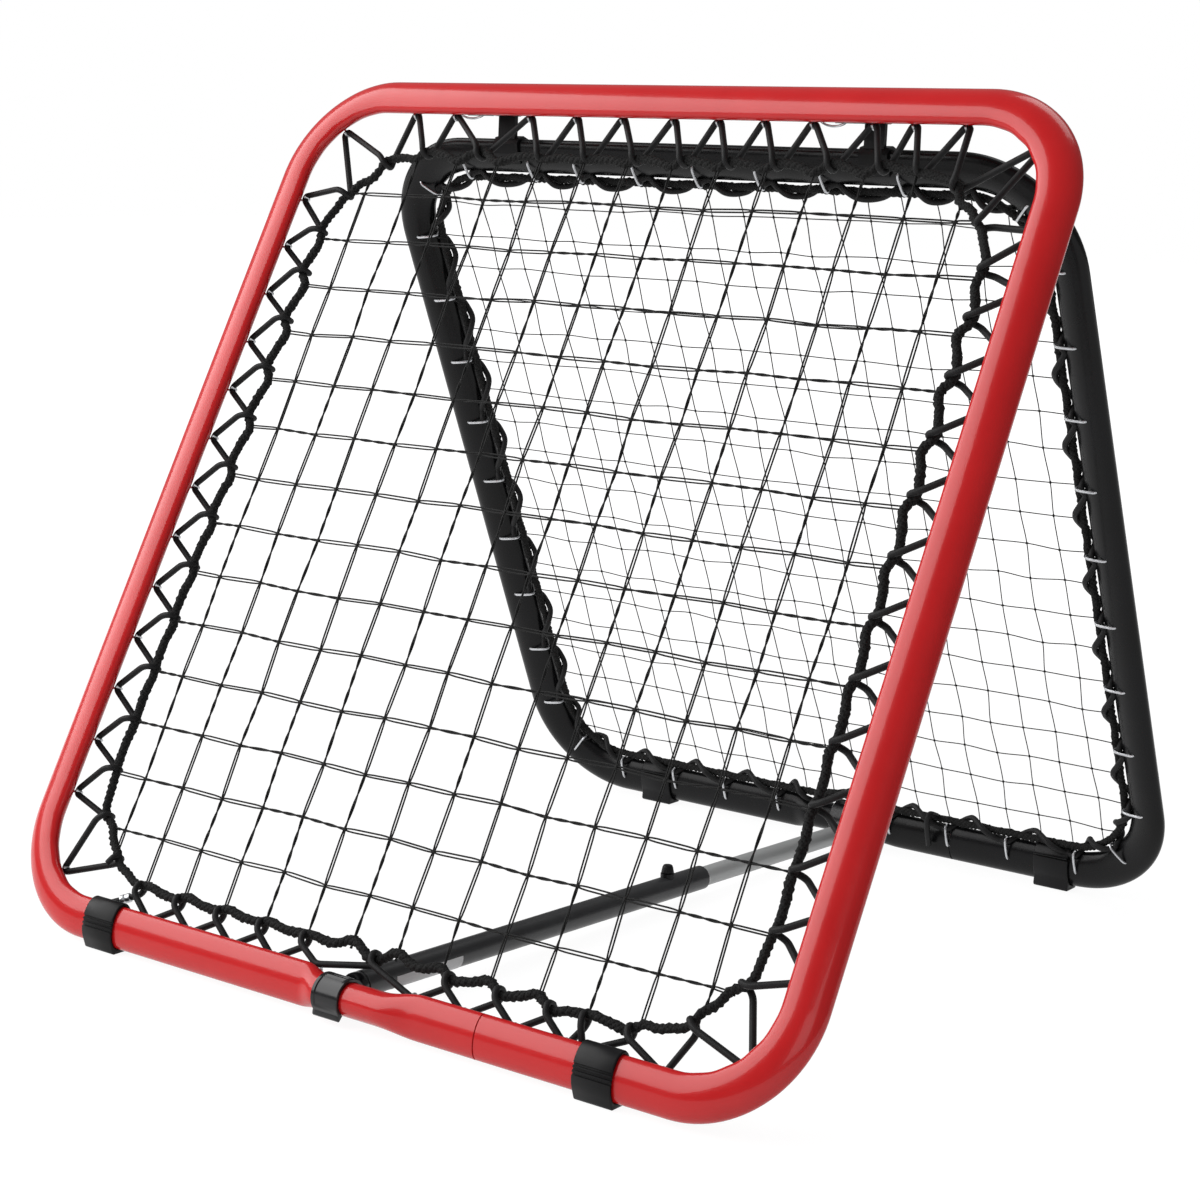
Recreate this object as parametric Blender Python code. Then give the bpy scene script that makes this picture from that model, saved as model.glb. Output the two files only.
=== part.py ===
"""Folding ball rebounder: two sprung nets in square tube frames, hinged at the top, braced by a strut.

Metres, +Z up. The floor is z = 0. The larger front frame leans back, its net facing -Y.
Each frame is drawn in its own axes: X along its top bar, Z up the frame from the top bar's
centre line, Y through it. "face" is the way that a frame's net faces, -1 or +1 along its own Y.
"""

from math import copysign, cos, pi, radians, sin

import bmesh
import bpy
from mathutils import Matrix, Vector

# Frames: widths and heights between the bars' centre lines. The rear frame hangs from the front
# one's top bar at these distances back and down, and reaches the floor at its own lean
FRONT_WIDTH = 0.730
FRONT_HEIGHT = 0.738
REAR_WIDTH = 0.644
CORNER_RADIUS = 0.078
FRONT_LEAN = radians(28.87)
REAR_LEAN = radians(23.40)
BAR_RISE = 0.0202
FRONT_BAR_Y = -0.3322
REAR_TOP_BACK = 0.047548
REAR_TOP_DROP = 0.046075
FRONT_TOP_Y = FRONT_BAR_Y + FRONT_HEIGHT * sin(FRONT_LEAN)
FRONT_TOP_Z = BAR_RISE + FRONT_HEIGHT * cos(FRONT_LEAN)
REAR_TOP_Y = FRONT_TOP_Y + REAR_TOP_BACK
REAR_TOP_Z = FRONT_TOP_Z - REAR_TOP_DROP
REAR_HEIGHT = (REAR_TOP_Z - BAR_RISE) / cos(REAR_LEAN)
FLOOR_SPAN = REAR_TOP_Y + REAR_HEIGHT * sin(REAR_LEAN) - FRONT_BAR_Y
SEAM_X = 0.123
SEAM_GAP = 0.0005

# Frame tube: a round tube pressed oval and canted, left round where the strut clips on
OVAL_HALF_WIDTH = 0.0165
OVAL_HALF_DEPTH = 0.0084
OVAL_CANT = radians(15)
TUBE_WALL = 0.0014
NECK_RADIUS = 0.0127
NECK_HALF_LENGTH = 0.032
NECK_BLEND = 0.024
TUBE_SIDES = 12
CORNER_STEPS = 6
SLEEVE_LENGTH = 0.060
SLEEVE_WALL = 0.0012

# Fits
GAP = 0.0003

# Feet
FOOT_WIDTH = 0.033
FOOT_WALL = 0.0026
FOOT_PAD_HALF = 0.0090
FOOT_GROOVE = 0.0009
FOOT_CHAMFER = 0.0012
FOOT_LIP = 0.0020
FOOT_SPLIT = 240
FRONT_FOOT_INSET = 0.121
FRONT_FOOT_X = FRONT_WIDTH / 2 - FRONT_FOOT_INSET
FRONT_FOOT_SHIFT = -0.016
REAR_FOOT_INSET = 0.108
REAR_FOOT_X = REAR_WIDTH / 2 - REAR_FOOT_INSET
REAR_FOOT_SHIFT = 0.011

# Hinge: a pin in a bracket behind the front top bar, through a link that stands on the rear top bar
PIVOT_BEHIND = 0.0354
PIVOT_ABOVE = 0.0127
LINK_SPREAD = 0.181
LINK_SHIFT = -0.009
LINK_WIDTH = 0.018
LINK_PLAY = 0.0004
LINK_THICKNESS = 0.0038
LINK_SADDLE_WIDTH = 0.026
SADDLE_WALL = 0.0025
KNUCKLE_RADIUS = 0.0065
PIN_RADIUS = 0.0030
PIN_HEAD = 0.0020
PIN_HEAD_RADIUS = 0.0050
PIN_OVERHANG = 0.004
PIN_TAPER = 0.0015
PIN_TIP_ROOM = 0.0008
PIN_TIP_RADIUS = 0.0018
BRACKET_EAR = 0.003
BRACKET_EAR_RADIUS = 0.0075
BRACKET_BASE = 0.0025
BRACKET_MARGIN = 0.0015
PIN_EYE_RADIUS = 0.0055
PIN_EYE_HOLE = 0.0034
PIN_EYE_THICKNESS = 0.0016
RING_RADIUS = 0.0145
RING_WIRE = 0.0006
RING_TURNS = 2
RING_PITCH = 0.0019
RING_YAW = radians(30)

# Strut between the bottom bars
STRUT_FRONT_X = -0.012
STRUT_REAR_X = 0.014
STRUT_FRONT_RISE = 0.0020
STRUT_REAR_DROP = 0.0095
STRUT_OUTER_RADIUS = 0.0102
STRUT_OUTER_WALL = 0.0014
STRUT_OUTER_START = 0.0230
STRUT_OUTER_LENGTH = 0.4120
STRUT_INNER_RADIUS = 0.0084
STRUT_INNER_WALL = 0.0012
STRUT_OVERLAP = 0.170
CLIP_WIDTH = 0.026
CLIP_WALL = 0.0026
CLIP_TAIL = 0.0090
CLIP_LIP = 0.0030
CLIP_WRAP = (-64, 228)
CLIP_STEPS = 18
CLIP_ROOT = 0.013
CLIP_OVERLAP = 0.0006
FRONT_CLIP_SIDE_ROOM = 0.008
REAR_CLIP_SIDE_ROOM = 0.014
REAR_CLIP_ROOM = 0.0018
REAR_CLIP_SHIFT_Y = -0.0010
REAR_CLIP_SHIFT_Z = 0.0009
REAR_REACH = 0.0290
PLUG_LENGTH = 0.022
PLUG_CLEARANCE = 0.0002
CLAMP_FROM_END = 0.047
CLAMP_NUT_RADIUS = 0.0060
CLAMP_NUT_HEIGHT = 0.0028
CLAMP_CUT = 0.03
KNOB_STEM_RADIUS = 0.0024
KNOB_BASE_RADIUS = 0.0054
KNOB_TOP_RADIUS = 0.0042
KNOB_HEIGHT = 0.0070
KNOB_EDGE = 0.001
STOP_HEAD = 0.004
STOP_PLUG = 0.012
KNOB_GAP = 0.0004

# Lacing
FRONT_NET_SETBACK = 0.008
REAR_NET_SETBACK = -0.003
ROPE_RADIUS = 0.0042
BUNGEE_RADIUS = 0.0026
ZIGZAG_CLEAR = 0.0060
ZIGZAG_HALF_DEPTH = 0.0125
WRAP_RADIUS = 0.0102
WRAP_START = 56
HOOK_WIRE = 0.0011
HOOK_ROOM = 0.0065
HOOK_ANGLE = radians(35)
HOOK_HALF_TURN = 0.0026
FRONT_HOOKS = 13
FRONT_HOOK_PITCHES = (0.0450, 0.0455)
REAR_HOOKS = 9
REAR_HOOK_PITCHES = (0.0605, 0.0625)
FRONT_ROPE_SIDE_INSET = 0.060
FRONT_ROPE_TOP_INSET = 0.058
FRONT_ROPE_BOTTOM_INSET = 0.040
FRONT_ROPE_CORNER = 0.055
REAR_ROPE_INSET = 0.0280
REAR_ROPE_CORNER = 0.062
CRIMP_LENGTH = 0.009
CRIMP_WALL = 0.0008

# Nets
FRONT_NET_GAPS = (13, 13)
REAR_NET_GAPS = (13, 13)
FRONT_NET_INSET = 0.0081
REAR_NET_INSET = 0.0103
FRONT_TWINE = 0.0020
REAR_TWINE = 0.0015

WELD = 0.00001

Y_AXIS = Vector((0, 1, 0))
Z_AXIS = Vector((0, 0, 1))


# Materials

def material(name, colour, roughness, metallic=0.0):
    made = bpy.data.materials.new(name)
    made.use_nodes = True
    shader = made.node_tree.nodes["Principled BSDF"]
    shader.inputs["Base Color"].default_value = (*colour, 1.0)
    shader.inputs["Roughness"].default_value = roughness
    shader.inputs["Metallic"].default_value = metallic
    return made


# Mesh helpers

def clear_scene():
    for thing in list(bpy.data.objects):
        bpy.data.objects.remove(thing, do_unlink=True)


def empty(name, location, parent=None):
    made = bpy.data.objects.new(name, None)
    bpy.context.scene.collection.objects.link(made)
    made.parent = parent
    made.location = location
    return made


def face_outward(bm):
    bmesh.ops.recalc_face_normals(bm, faces=bm.faces)
    if bm.calc_volume(signed=True) < 0:
        bmesh.ops.reverse_faces(bm, faces=bm.faces)


def object_from(bm, name, parent=None, finish=None):
    face_outward(bm)
    mesh = bpy.data.meshes.new(name)
    bm.to_mesh(mesh)
    bm.free()
    mesh.shade_smooth()
    mesh.set_sharp_from_angle(angle=radians(40))
    made = bpy.data.objects.new(name, mesh)
    bpy.context.scene.collection.objects.link(made)
    made.parent = parent
    if finish:
        mesh.materials.append(finish)
    return made


def add_ring(bm, points):
    return [bm.verts.new(point) for point in points]


def add_skin(bm, first, second):
    count = len(first)
    for i in range(count):
        j = (i + 1) % count
        bm.faces.new((first[i], first[j], second[j], second[i]))


def add_cord(bm, rings, closed=False):
    """A solid skin over a list of rings of points, capped unless it closes on itself."""
    made = [add_ring(bm, ring) for ring in rings]
    for first, second in zip(made, made[1:]):
        add_skin(bm, first, second)
    if closed:
        add_skin(bm, made[-1], made[0])
    else:
        bm.faces.new(made[0])
        bm.faces.new(made[-1])


def swept(rings, closed=False):
    bm = bmesh.new()
    add_cord(bm, rings, closed)
    return bm


def hollow(outer_rings, inner_rings):
    """A pipe: an outer and an inner skin, joined at both ends."""
    bm = bmesh.new()
    outer = [add_ring(bm, ring) for ring in outer_rings]
    inner = [add_ring(bm, ring) for ring in inner_rings]
    for skin in (outer, inner):
        for first, second in zip(skin, skin[1:]):
            add_skin(bm, first, second)
    add_skin(bm, outer[0], inner[0])
    add_skin(bm, outer[-1], inner[-1])
    return bm


def circle(centre, across, up, radius, sides, turn=0.0):
    steps = [2 * pi * i / sides + turn for i in range(sides)]
    return [centre + across * (radius * cos(a)) + up * (radius * sin(a)) for a in steps]


def cord_rings(points, radius, sides, closed=False):
    """Rings along a cord, turned from point to point without twist."""
    count = len(points)
    rings = []
    up = None
    for i, point in enumerate(points):
        before = points[i - 1] if i or closed else point
        after = points[(i + 1) % count] if i + 1 < count or closed else point
        along = (after - before).normalized()
        if up is None:
            up = Y_AXIS if abs(along.dot(Y_AXIS)) < 0.8 else Z_AXIS
        across = along.cross(up).normalized()
        up = across.cross(along).normalized()
        rings.append(circle(point, across, up, radius, sides, pi / sides))
    return rings


def prism_along_x(profile, width, centre_x=0.0):
    """A flat outline of (y, z) points given a width along X."""
    bm = bmesh.new()
    ends = []
    for x in (centre_x - width / 2, centre_x + width / 2):
        ends.append(add_ring(bm, [Vector((x, y, z)) for y, z in profile]))
    add_skin(bm, ends[0], ends[1])
    caps = [bm.faces.new(ends[0]), bm.faces.new(ends[1])]
    bm.normal_update()
    bmesh.ops.triangulate(bm, faces=caps)
    return bm


def turned(start, end, profile, sides):
    """A solid turned about the line from start to end; the profile holds (distance, radius)."""
    along = (end - start).normalized()
    side = along.cross(Z_AXIS if abs(along.z) < 0.9 else Y_AXIS).normalized()
    up = side.cross(along)
    return swept([circle(start + along * d, side, up, r, sides) for d, r in profile])


def pipe(start, along, length, radius, wall, sides):
    side = along.cross(Z_AXIS).normalized()
    up = side.cross(along)
    ends = (start, start + along * length)
    outer = [circle(end, side, up, radius, sides) for end in ends]
    inner = [circle(end, side, up, radius - wall, sides) for end in ends]
    return hollow(outer, inner)


def combine(target, other, operation, resolve=False):
    """Joins or cuts the other solid, which then goes."""
    modifier = target.modifiers.new(operation.lower(), "BOOLEAN")
    modifier.operation = operation
    modifier.solver = "EXACT"
    modifier.use_self = resolve
    modifier.object = other
    bpy.context.view_layer.update()
    graph = bpy.context.evaluated_depsgraph_get()
    result = bpy.data.meshes.new_from_object(target.evaluated_get(graph))
    target.modifiers.clear()
    bm = bmesh.new()
    bm.from_mesh(result)
    bmesh.ops.dissolve_degenerate(bm, dist=WELD, edges=bm.edges)
    bmesh.ops.remove_doubles(bm, verts=bm.verts, dist=WELD)
    face_outward(bm)
    bm.to_mesh(result)
    bm.free()
    target.data = result
    result.shade_smooth()
    result.set_sharp_from_angle(angle=radians(40))
    bpy.data.objects.remove(other, do_unlink=True)


# Rounded rectangles: the bars' centre line and the ropes

class RoundedRectangle:
    """Sides 0 to 3 are bottom, right, top and left, walked anticlockwise as seen from -Y."""

    def __init__(self, half_width, top, bottom, corner):
        self.half_width = half_width
        self.half_height = (top - bottom) / 2
        self.middle = Vector((0, 0, (top + bottom) / 2))
        self.corner = corner

    def outward(self, side):
        return Vector((sin(side * pi / 2), 0, -cos(side * pi / 2)))

    def forward(self, side):
        return Vector((cos(side * pi / 2), 0, sin(side * pi / 2)))

    def reach(self, side):
        return self.half_height if side % 2 == 0 else self.half_width

    def half_run(self, side):
        return self.half_width if side % 2 == 0 else self.half_height

    def on_side(self, side, distance):
        out = self.outward(side)
        return self.middle + out * self.reach(side) + self.forward(side) * distance, out

    def on_corner(self, side, angle):
        """The corner that ends a side, at an angle from that side's own outward direction."""
        out = self.outward(side)
        ahead = self.forward(side)
        centre = self.middle + out * (self.reach(side) - self.corner)
        centre += ahead * (self.half_run(side) - self.corner)
        direction = out * cos(angle) + ahead * sin(angle)
        return centre + direction * self.corner, direction

    def nearest(self, point):
        """The point of the outline nearest to one outside it, and the way out there."""
        inner_x = self.half_width - self.corner
        inner_z = self.half_height - self.corner
        offset = point - self.middle
        core = Vector((max(-inner_x, min(inner_x, offset.x)), 0, max(-inner_z, min(inner_z, offset.z))))
        direction = Vector((offset.x, 0, offset.z)) - core
        direction.normalize()
        return self.middle + core + direction * self.corner, direction

    def loop(self, steps):
        found = []
        for side in range(4):
            for i in range(steps + 1):
                found.append(self.on_corner(side, i * pi / 2 / steps))
        return found


def bar_line(width, height):
    return RoundedRectangle(width / 2, 0.0, -height, CORNER_RADIUS)


def oval_axes(outward, face):
    """The long and the short axis of the tube's section."""
    normal = Y_AXIS * face
    long_axis = outward * cos(OVAL_CANT) - normal * sin(OVAL_CANT)
    short_axis = outward * sin(OVAL_CANT) + normal * cos(OVAL_CANT)
    return long_axis, short_axis


def oval_ring(centre, outward, face, half_width, half_depth, sides):
    long_axis, short_axis = oval_axes(outward, face)
    steps = [2 * pi * i / sides for i in range(sides)]
    return [centre + long_axis * (half_width * cos(a)) + short_axis * (half_depth * sin(a)) for a in steps]


# Frame tubes

def tube_stations(line):
    """(point, outward, how round) from the seam, round the frame, back to the seam."""
    stations = [(*line.on_side(0, SEAM_X + SEAM_GAP / 2), 0.0)]
    stations += [(point, out, 0.0) for point, out in line.loop(CORNER_STEPS)]
    edge = NECK_HALF_LENGTH + NECK_BLEND
    middle = NECK_HALF_LENGTH + NECK_BLEND / 2
    for distance, roundness in ((-edge, 0.0), (-middle, 0.5), (-NECK_HALF_LENGTH, 1.0),
                                (NECK_HALF_LENGTH, 1.0), (middle, 0.5), (edge, 0.0)):
        stations.append((*line.on_side(0, distance), roundness))
    stations.append((*line.on_side(0, SEAM_X - SEAM_GAP / 2), 0.0))
    return stations


def section_halves(roundness, inset):
    half_width = OVAL_HALF_WIDTH + (NECK_RADIUS - OVAL_HALF_WIDTH) * roundness - inset
    half_depth = OVAL_HALF_DEPTH + (NECK_RADIUS - OVAL_HALF_DEPTH) * roundness - inset
    return half_width, half_depth


def frame_tube(name, line, face, parent, finish):
    skins = []
    for inset in (0.0, TUBE_WALL):
        rings = []
        for point, out, roundness in tube_stations(line):
            halves = section_halves(roundness, inset)
            rings.append(oval_ring(point, out, face, *halves, TUBE_SIDES))
        skins.append(rings)
    return object_from(hollow(*skins), name, parent, finish)


def joint_sleeve(name, line, face, parent, finish):
    """The short tube inside the seam that lines up the two ends."""
    skins = []
    for inset in (TUBE_WALL + GAP, TUBE_WALL + GAP + SLEEVE_WALL):
        rings = []
        for end in (-SLEEVE_LENGTH / 2, SLEEVE_LENGTH / 2):
            point, out = line.on_side(0, SEAM_X + end)
            rings.append(oval_ring(point, out, face, *section_halves(0.0, inset), TUBE_SIDES))
        skins.append(rings)
    object_from(hollow(*skins), name, parent, finish)


# Hooks and lacing

def clear_of(distance, fittings):
    """A hook's place along a bar, moved aside where a foot, a clip or a hinge piece is."""
    for centre, half_width in fittings:
        if abs(distance - centre) < half_width + HOOK_ROOM:
            return centre + copysign(half_width + HOOK_ROOM, distance - centre)
    return distance


def hook_spots(line, count, pitches, fittings):
    """Hooks in order round the frame, one at each corner; fittings holds (x, half width) per side."""
    spots = []
    for side in range(4):
        ahead = line.forward(side).x
        blocked = [(x * ahead, half_width) for x, half_width in fittings.get(side, ())]
        for i in range(count):
            distance = (i - (count - 1) / 2) * pitches[side % 2]
            spots.append(line.on_side(side, clear_of(distance, blocked)))
        spots.append(line.on_corner(side, pi / 4))
    return spots


def fittings_on(feet_x, feet_shift, clip_x, clip_room, piece_width):
    feet = [(feet_shift + side * feet_x, FOOT_WIDTH / 2) for side in (-1, 1)]
    hinges = [(LINK_SHIFT + side * LINK_SPREAD, piece_width / 2) for side in (-1, 1)]
    return {0: feet + [(clip_x, CLIP_WIDTH / 2 + clip_room)], 2: hinges}


def hook_seat(point, outward, face):
    """The bungee's centre where it lies in a hook, against the tube's skin."""
    long_axis, short_axis = oval_axes(outward, face)
    skin = long_axis * (-OVAL_HALF_WIDTH * cos(HOOK_ANGLE)) + short_axis * (-OVAL_HALF_DEPTH * sin(HOOK_ANGLE))
    away = long_axis * (-cos(HOOK_ANGLE) / OVAL_HALF_WIDTH) + short_axis * (-sin(HOOK_ANGLE) / OVAL_HALF_DEPTH)
    away.normalize()
    return point + skin + away * (BUNGEE_RADIUS + GAP)


def add_hooks(tube, face, spots):
    """Wire hooks: out of the tube's inward face, then along it behind the bungee."""
    bm = bmesh.new()
    for point, outward in spots:
        long_axis, short_axis = oval_axes(outward, face)
        seat = hook_seat(point, outward, face)
        behind = BUNGEE_RADIUS + HOOK_WIRE + 6 * GAP
        root = point - short_axis * (OVAL_HALF_DEPTH - TUBE_WALL / 2) + long_axis * HOOK_WIRE
        bend = point - short_axis * (OVAL_HALF_DEPTH + 2 * HOOK_WIRE) - long_axis * (3 * HOOK_WIRE)
        tip = seat - short_axis * behind
        add_cord(bm, cord_rings([root, bend, tip], HOOK_WIRE, 4))
    combine(tube, object_from(bm, "hooks", tube.parent), "UNION")


def zigzag_points(rope, face, setback, hooks):
    """From a hook behind the rope, round it on the net's side, and over its face to the next hook."""
    points = []
    for (here, outward), (ahead, _) in zip(hooks, hooks[1:] + hooks[:1]):
        centre, rope_out = rope.nearest(here.lerp(ahead, 0.5))
        turn = centre - Y_AXIS * (face * setback) - rope_out * ZIGZAG_CLEAR
        depth = Y_AXIS * (face * ZIGZAG_HALF_DEPTH)
        seat = hook_seat(here, outward, face)
        half_turn = outward.cross(Y_AXIS) * HOOK_HALF_TURN
        points += [seat - half_turn, seat + half_turn, turn - depth, turn + depth]
    return points


def wrap_points(rope, face, setback, hooks):
    """Once round the rope on the way from each hook to the next."""
    points = []
    for (here, outward), (ahead, _) in zip(hooks, hooks[1:] + hooks[:1]):
        points.append(hook_seat(here, outward, face))
        for quarter in (1, 2, 3):
            centre, rope_out = rope.nearest(here.lerp(ahead, quarter / 4))
            angle = radians(WRAP_START + 90 * (quarter - 1))
            round_rope = rope_out * cos(angle) + Y_AXIS * (face * sin(angle))
            points.append(centre - Y_AXIS * (face * setback) + round_rope * WRAP_RADIUS)
    return points


def bungee(name, points, parent, finish):
    object_from(swept(cord_rings(points, BUNGEE_RADIUS, 4, True), True), name, parent, finish)


def border_rope(name, rope, face, setback, parent, finish):
    points = [point - Y_AXIS * (face * setback) for point, _ in rope.loop(CORNER_STEPS)]
    object_from(swept(cord_rings(points, ROPE_RADIUS, 6, True), True), name, parent, finish)


def crimp(name, start, end, parent, finish):
    """The metal sleeve that closes the bungee, on a straight run of it."""
    along = (end - start).normalized()
    middle = (start + end) / 2
    made = pipe(middle - along * (CRIMP_LENGTH / 2), along, CRIMP_LENGTH,
                BUNGEE_RADIUS + GAP + CRIMP_WALL, CRIMP_WALL, 10)
    object_from(made, name, parent, finish)


def twine_edges(low, high, gaps, twine):
    """The two edges of each twine across a net."""
    pitch = (high - low - twine) / gaps
    edges = []
    for i in range(gaps + 1):
        edges += [low + i * pitch, low + i * pitch + twine]
    return edges


def net(name, rope, inset, face, setback, gaps, twine, parent, finish):
    """Square meshes of flat twine, without the four corner meshes."""
    half = rope.half_width - inset
    top = rope.middle.z + rope.half_height - inset
    bottom = rope.middle.z - rope.half_height + inset
    xs = twine_edges(-half, half, gaps[0], twine)
    zs = twine_edges(bottom, top, gaps[1], twine)
    last_x = 2 * gaps[0]
    last_z = 2 * gaps[1]
    corner_gaps = {(1, 1), (last_x - 1, 1), (1, last_z - 1), (last_x - 1, last_z - 1)}

    def is_gap(i, j):
        return i % 2 == 1 and j % 2 == 1 and 0 < i < last_x and 0 < j < last_z

    def is_twine(i, j):
        if is_gap(i, j):
            return False
        near = [(i + a, j + b) for a in (-1, 0, 1) for b in (-1, 0, 1)]
        return any(is_gap(*spot) and spot not in corner_gaps for spot in near)

    bm = bmesh.new()
    plane = -face * setback - twine / 2
    found = {}
    for i in range(last_x + 1):
        for j in range(last_z + 1):
            if not is_twine(i, j):
                continue
            corners = []
            for a, b in ((i, j), (i + 1, j), (i + 1, j + 1), (i, j + 1)):
                if (a, b) not in found:
                    found[a, b] = bm.verts.new((xs[a], plane, zs[b]))
                corners.append(found[a, b])
            bm.faces.new(corners)
    made = bmesh.ops.extrude_face_region(bm, geom=bm.faces[:])
    raised = [item for item in made["geom"] if isinstance(item, bmesh.types.BMVert)]
    bmesh.ops.translate(bm, verts=raised, vec=Y_AXIS * twine)
    object_from(bm, name, parent, finish)


# Tube wraps: points round the oval skin and solids laid over it

def oval_point(outward, face, degrees_round, offset):
    long_axis, short_axis = oval_axes(outward, face)
    angle = radians(degrees_round)
    across = long_axis * ((OVAL_HALF_WIDTH + offset) * cos(angle))
    return across + short_axis * ((OVAL_HALF_DEPTH + offset) * sin(angle))


def saddle_outline(outward, face, start, end, wall):
    """(y, z) of a strip that lies on the tube's skin, corner for corner."""
    corners = list(range(start, end + 1, 30))
    inner = [oval_point(outward, face, corner, GAP) for corner in corners]
    outer = [oval_point(outward, face, corner, GAP + wall) for corner in reversed(corners)]
    return [(point.y, point.z) for point in inner + outer]


def hull_solid(points):
    bm = bmesh.new()
    for point in points:
        bm.verts.new(point)
    made = bmesh.ops.convex_hull(bm, input=bm.verts)
    inside = [item for item in made["geom_interior"] if isinstance(item, bmesh.types.BMVert)]
    bmesh.ops.delete(bm, geom=inside, context="VERTS")
    return bm


def turning(first, second, third):
    return (second[0] - first[0]) * (third[1] - first[1]) - (second[1] - first[1]) * (third[0] - first[0])


def half_outline(ordered):
    found = []
    for point in ordered:
        while len(found) > 1 and turning(found[-2], found[-1], point) <= 0:
            found.pop()
        found.append(point)
    return found[:-1]


def convex_prism(points, width, centre_x=0.0):
    """The smallest convex outline round the points, seen along X, given a width."""
    ordered = sorted({(point.y, point.z) for point in points})
    return prism_along_x(half_outline(ordered) + half_outline(ordered[::-1]), width, centre_x)


# Feet

def foot_outline(face, lean):
    """(y, z) about the bar's centre with the floor level: a split band, ribbed in front, flat below."""
    down = Vector((0, 0, -1))
    level = Matrix.Rotation(lean, 3, "X")
    floor = -BAR_RISE

    def placed(degrees_round, offset):
        point = level @ oval_point(down, face, degrees_round, offset)
        return point.y, point.z

    def band(degrees_round, depth=0.0):
        return placed(degrees_round, GAP + FOOT_WALL - depth)

    ribbed = []
    for groove in (80, 90, 100):
        ribbed += [band(groove - 3), band(groove - 2, FOOT_GROOVE), band(groove + 2, FOOT_GROOVE), band(groove + 3)]
    lip = placed(FOOT_SPLIT - 3, GAP + FOOT_WALL + FOOT_LIP)
    behind = [band(corner) for corner in (FOOT_SPLIT - 358, 270 - 360, 300 - 360)]
    sole = [(-face * FOOT_PAD_HALF, floor + FOOT_CHAMFER), (-face * (FOOT_PAD_HALF - FOOT_CHAMFER), floor)]
    sole += [(face * (FOOT_PAD_HALF - FOOT_CHAMFER), floor), (face * FOOT_PAD_HALF, floor + FOOT_CHAMFER)]
    front = [band(corner) for corner in (45, 60)]
    top = [band(corner) for corner in (120, 135, 150, 165, 180, 195, 210)]
    inner = [placed(FOOT_SPLIT - 2, GAP)] + [placed(corner, GAP) for corner in range(210, -91, -30)]
    return behind + sole + front + ribbed + top + [lip] + inner + [placed(FOOT_SPLIT - 358, GAP)]


def foot(name, x, face, lean, height, parent, finish):
    made = object_from(prism_along_x(foot_outline(face, lean), FOOT_WIDTH), name, parent, finish)
    made.location = (x, 0, -height)
    made.rotation_euler = (-lean, 0, 0)


# Hinge

def bracket_width():
    return LINK_WIDTH + 2 * (LINK_PLAY + BRACKET_EAR + BRACKET_MARGIN)


def hinge_bracket(name, x, parent, finish):
    """A saddle on the back of the front top bar with two ears that carry the pin."""
    width = bracket_width() - 2 * BRACKET_MARGIN
    base = saddle_outline(Z_AXIS, -1, 240, 300, BRACKET_BASE)
    made = object_from(prism_along_x(base, bracket_width(), x), name, parent, finish)
    pivot = Vector((0, PIVOT_BEHIND, PIVOT_ABOVE))
    for side in (-1, 1):
        middle = x + side * (width - BRACKET_EAR) / 2
        root = [oval_point(Z_AXIS, -1, corner, GAP + BRACKET_BASE / 2) for corner in (252, 270, 288)]
        rounded = circle(pivot, Y_AXIS, Z_AXIS, BRACKET_EAR_RADIUS, 12)
        ear = object_from(convex_prism(root + rounded, BRACKET_EAR, middle), "ear", parent)
        combine(made, ear, "UNION")
    combine(made, pin_hole("hole", x, pivot, width, parent), "DIFFERENCE")


def pin_hole(name, x, pivot, width, parent):
    reach = Vector((width, 0, 0))
    middle = pivot + Vector((x, 0, 0))
    solid = turned(middle - reach, middle + reach, [(0, PIN_RADIUS + GAP), (2 * width, PIN_RADIUS + GAP)], 12)
    return object_from(solid, name, parent)


def pivot_from_rear():
    """The hinge line in the rear frame's axes."""
    level = Matrix.Rotation(-FRONT_LEAN, 3, "X") @ Vector((0, PIVOT_BEHIND, PIVOT_ABOVE))
    offset = level + Vector((0, FRONT_TOP_Y - REAR_TOP_Y, FRONT_TOP_Z - REAR_TOP_Z))
    return Matrix.Rotation(-REAR_LEAN, 3, "X") @ offset


def hinge_link(name, x, parent, finish):
    """A strap from the pin down to a saddle round the rear top bar."""
    pivot = pivot_from_rear()
    foot_of_strap = oval_point(Z_AXIS, 1, 0, GAP + SADDLE_WALL / 2)
    along = (pivot - foot_of_strap).normalized()
    across = Vector((0, along.z, -along.y)) * (LINK_THICKNESS / 2)
    corners = [foot_of_strap - across, foot_of_strap + across, pivot - across, pivot + across]
    made = object_from(convex_prism(corners, LINK_WIDTH, x), name, parent, finish)
    ends = [pivot + Vector((x + end, 0, 0)) for end in (-LINK_WIDTH / 2, LINK_WIDTH / 2)]
    knuckle = turned(*ends, [(0, KNUCKLE_RADIUS), (LINK_WIDTH, KNUCKLE_RADIUS)], 16)
    combine(made, object_from(knuckle, "knuckle", parent), "UNION")
    outline = saddle_outline(Z_AXIS, 1, -90, 90, SADDLE_WALL)
    wrap = object_from(prism_along_x(outline, LINK_SADDLE_WIDTH, x), "wrap", parent)
    combine(made, wrap, "UNION", resolve=True)
    combine(made, pin_hole("hole", x, pivot, LINK_SADDLE_WIDTH, parent), "DIFFERENCE")


def eye_centre(x):
    """The middle of the hole at the pin's end."""
    half = LINK_WIDTH / 2 + LINK_PLAY + BRACKET_EAR
    return Vector((x - half - PIN_OVERHANG - PIN_EYE_RADIUS, PIVOT_BEHIND, PIVOT_ABOVE))


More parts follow.
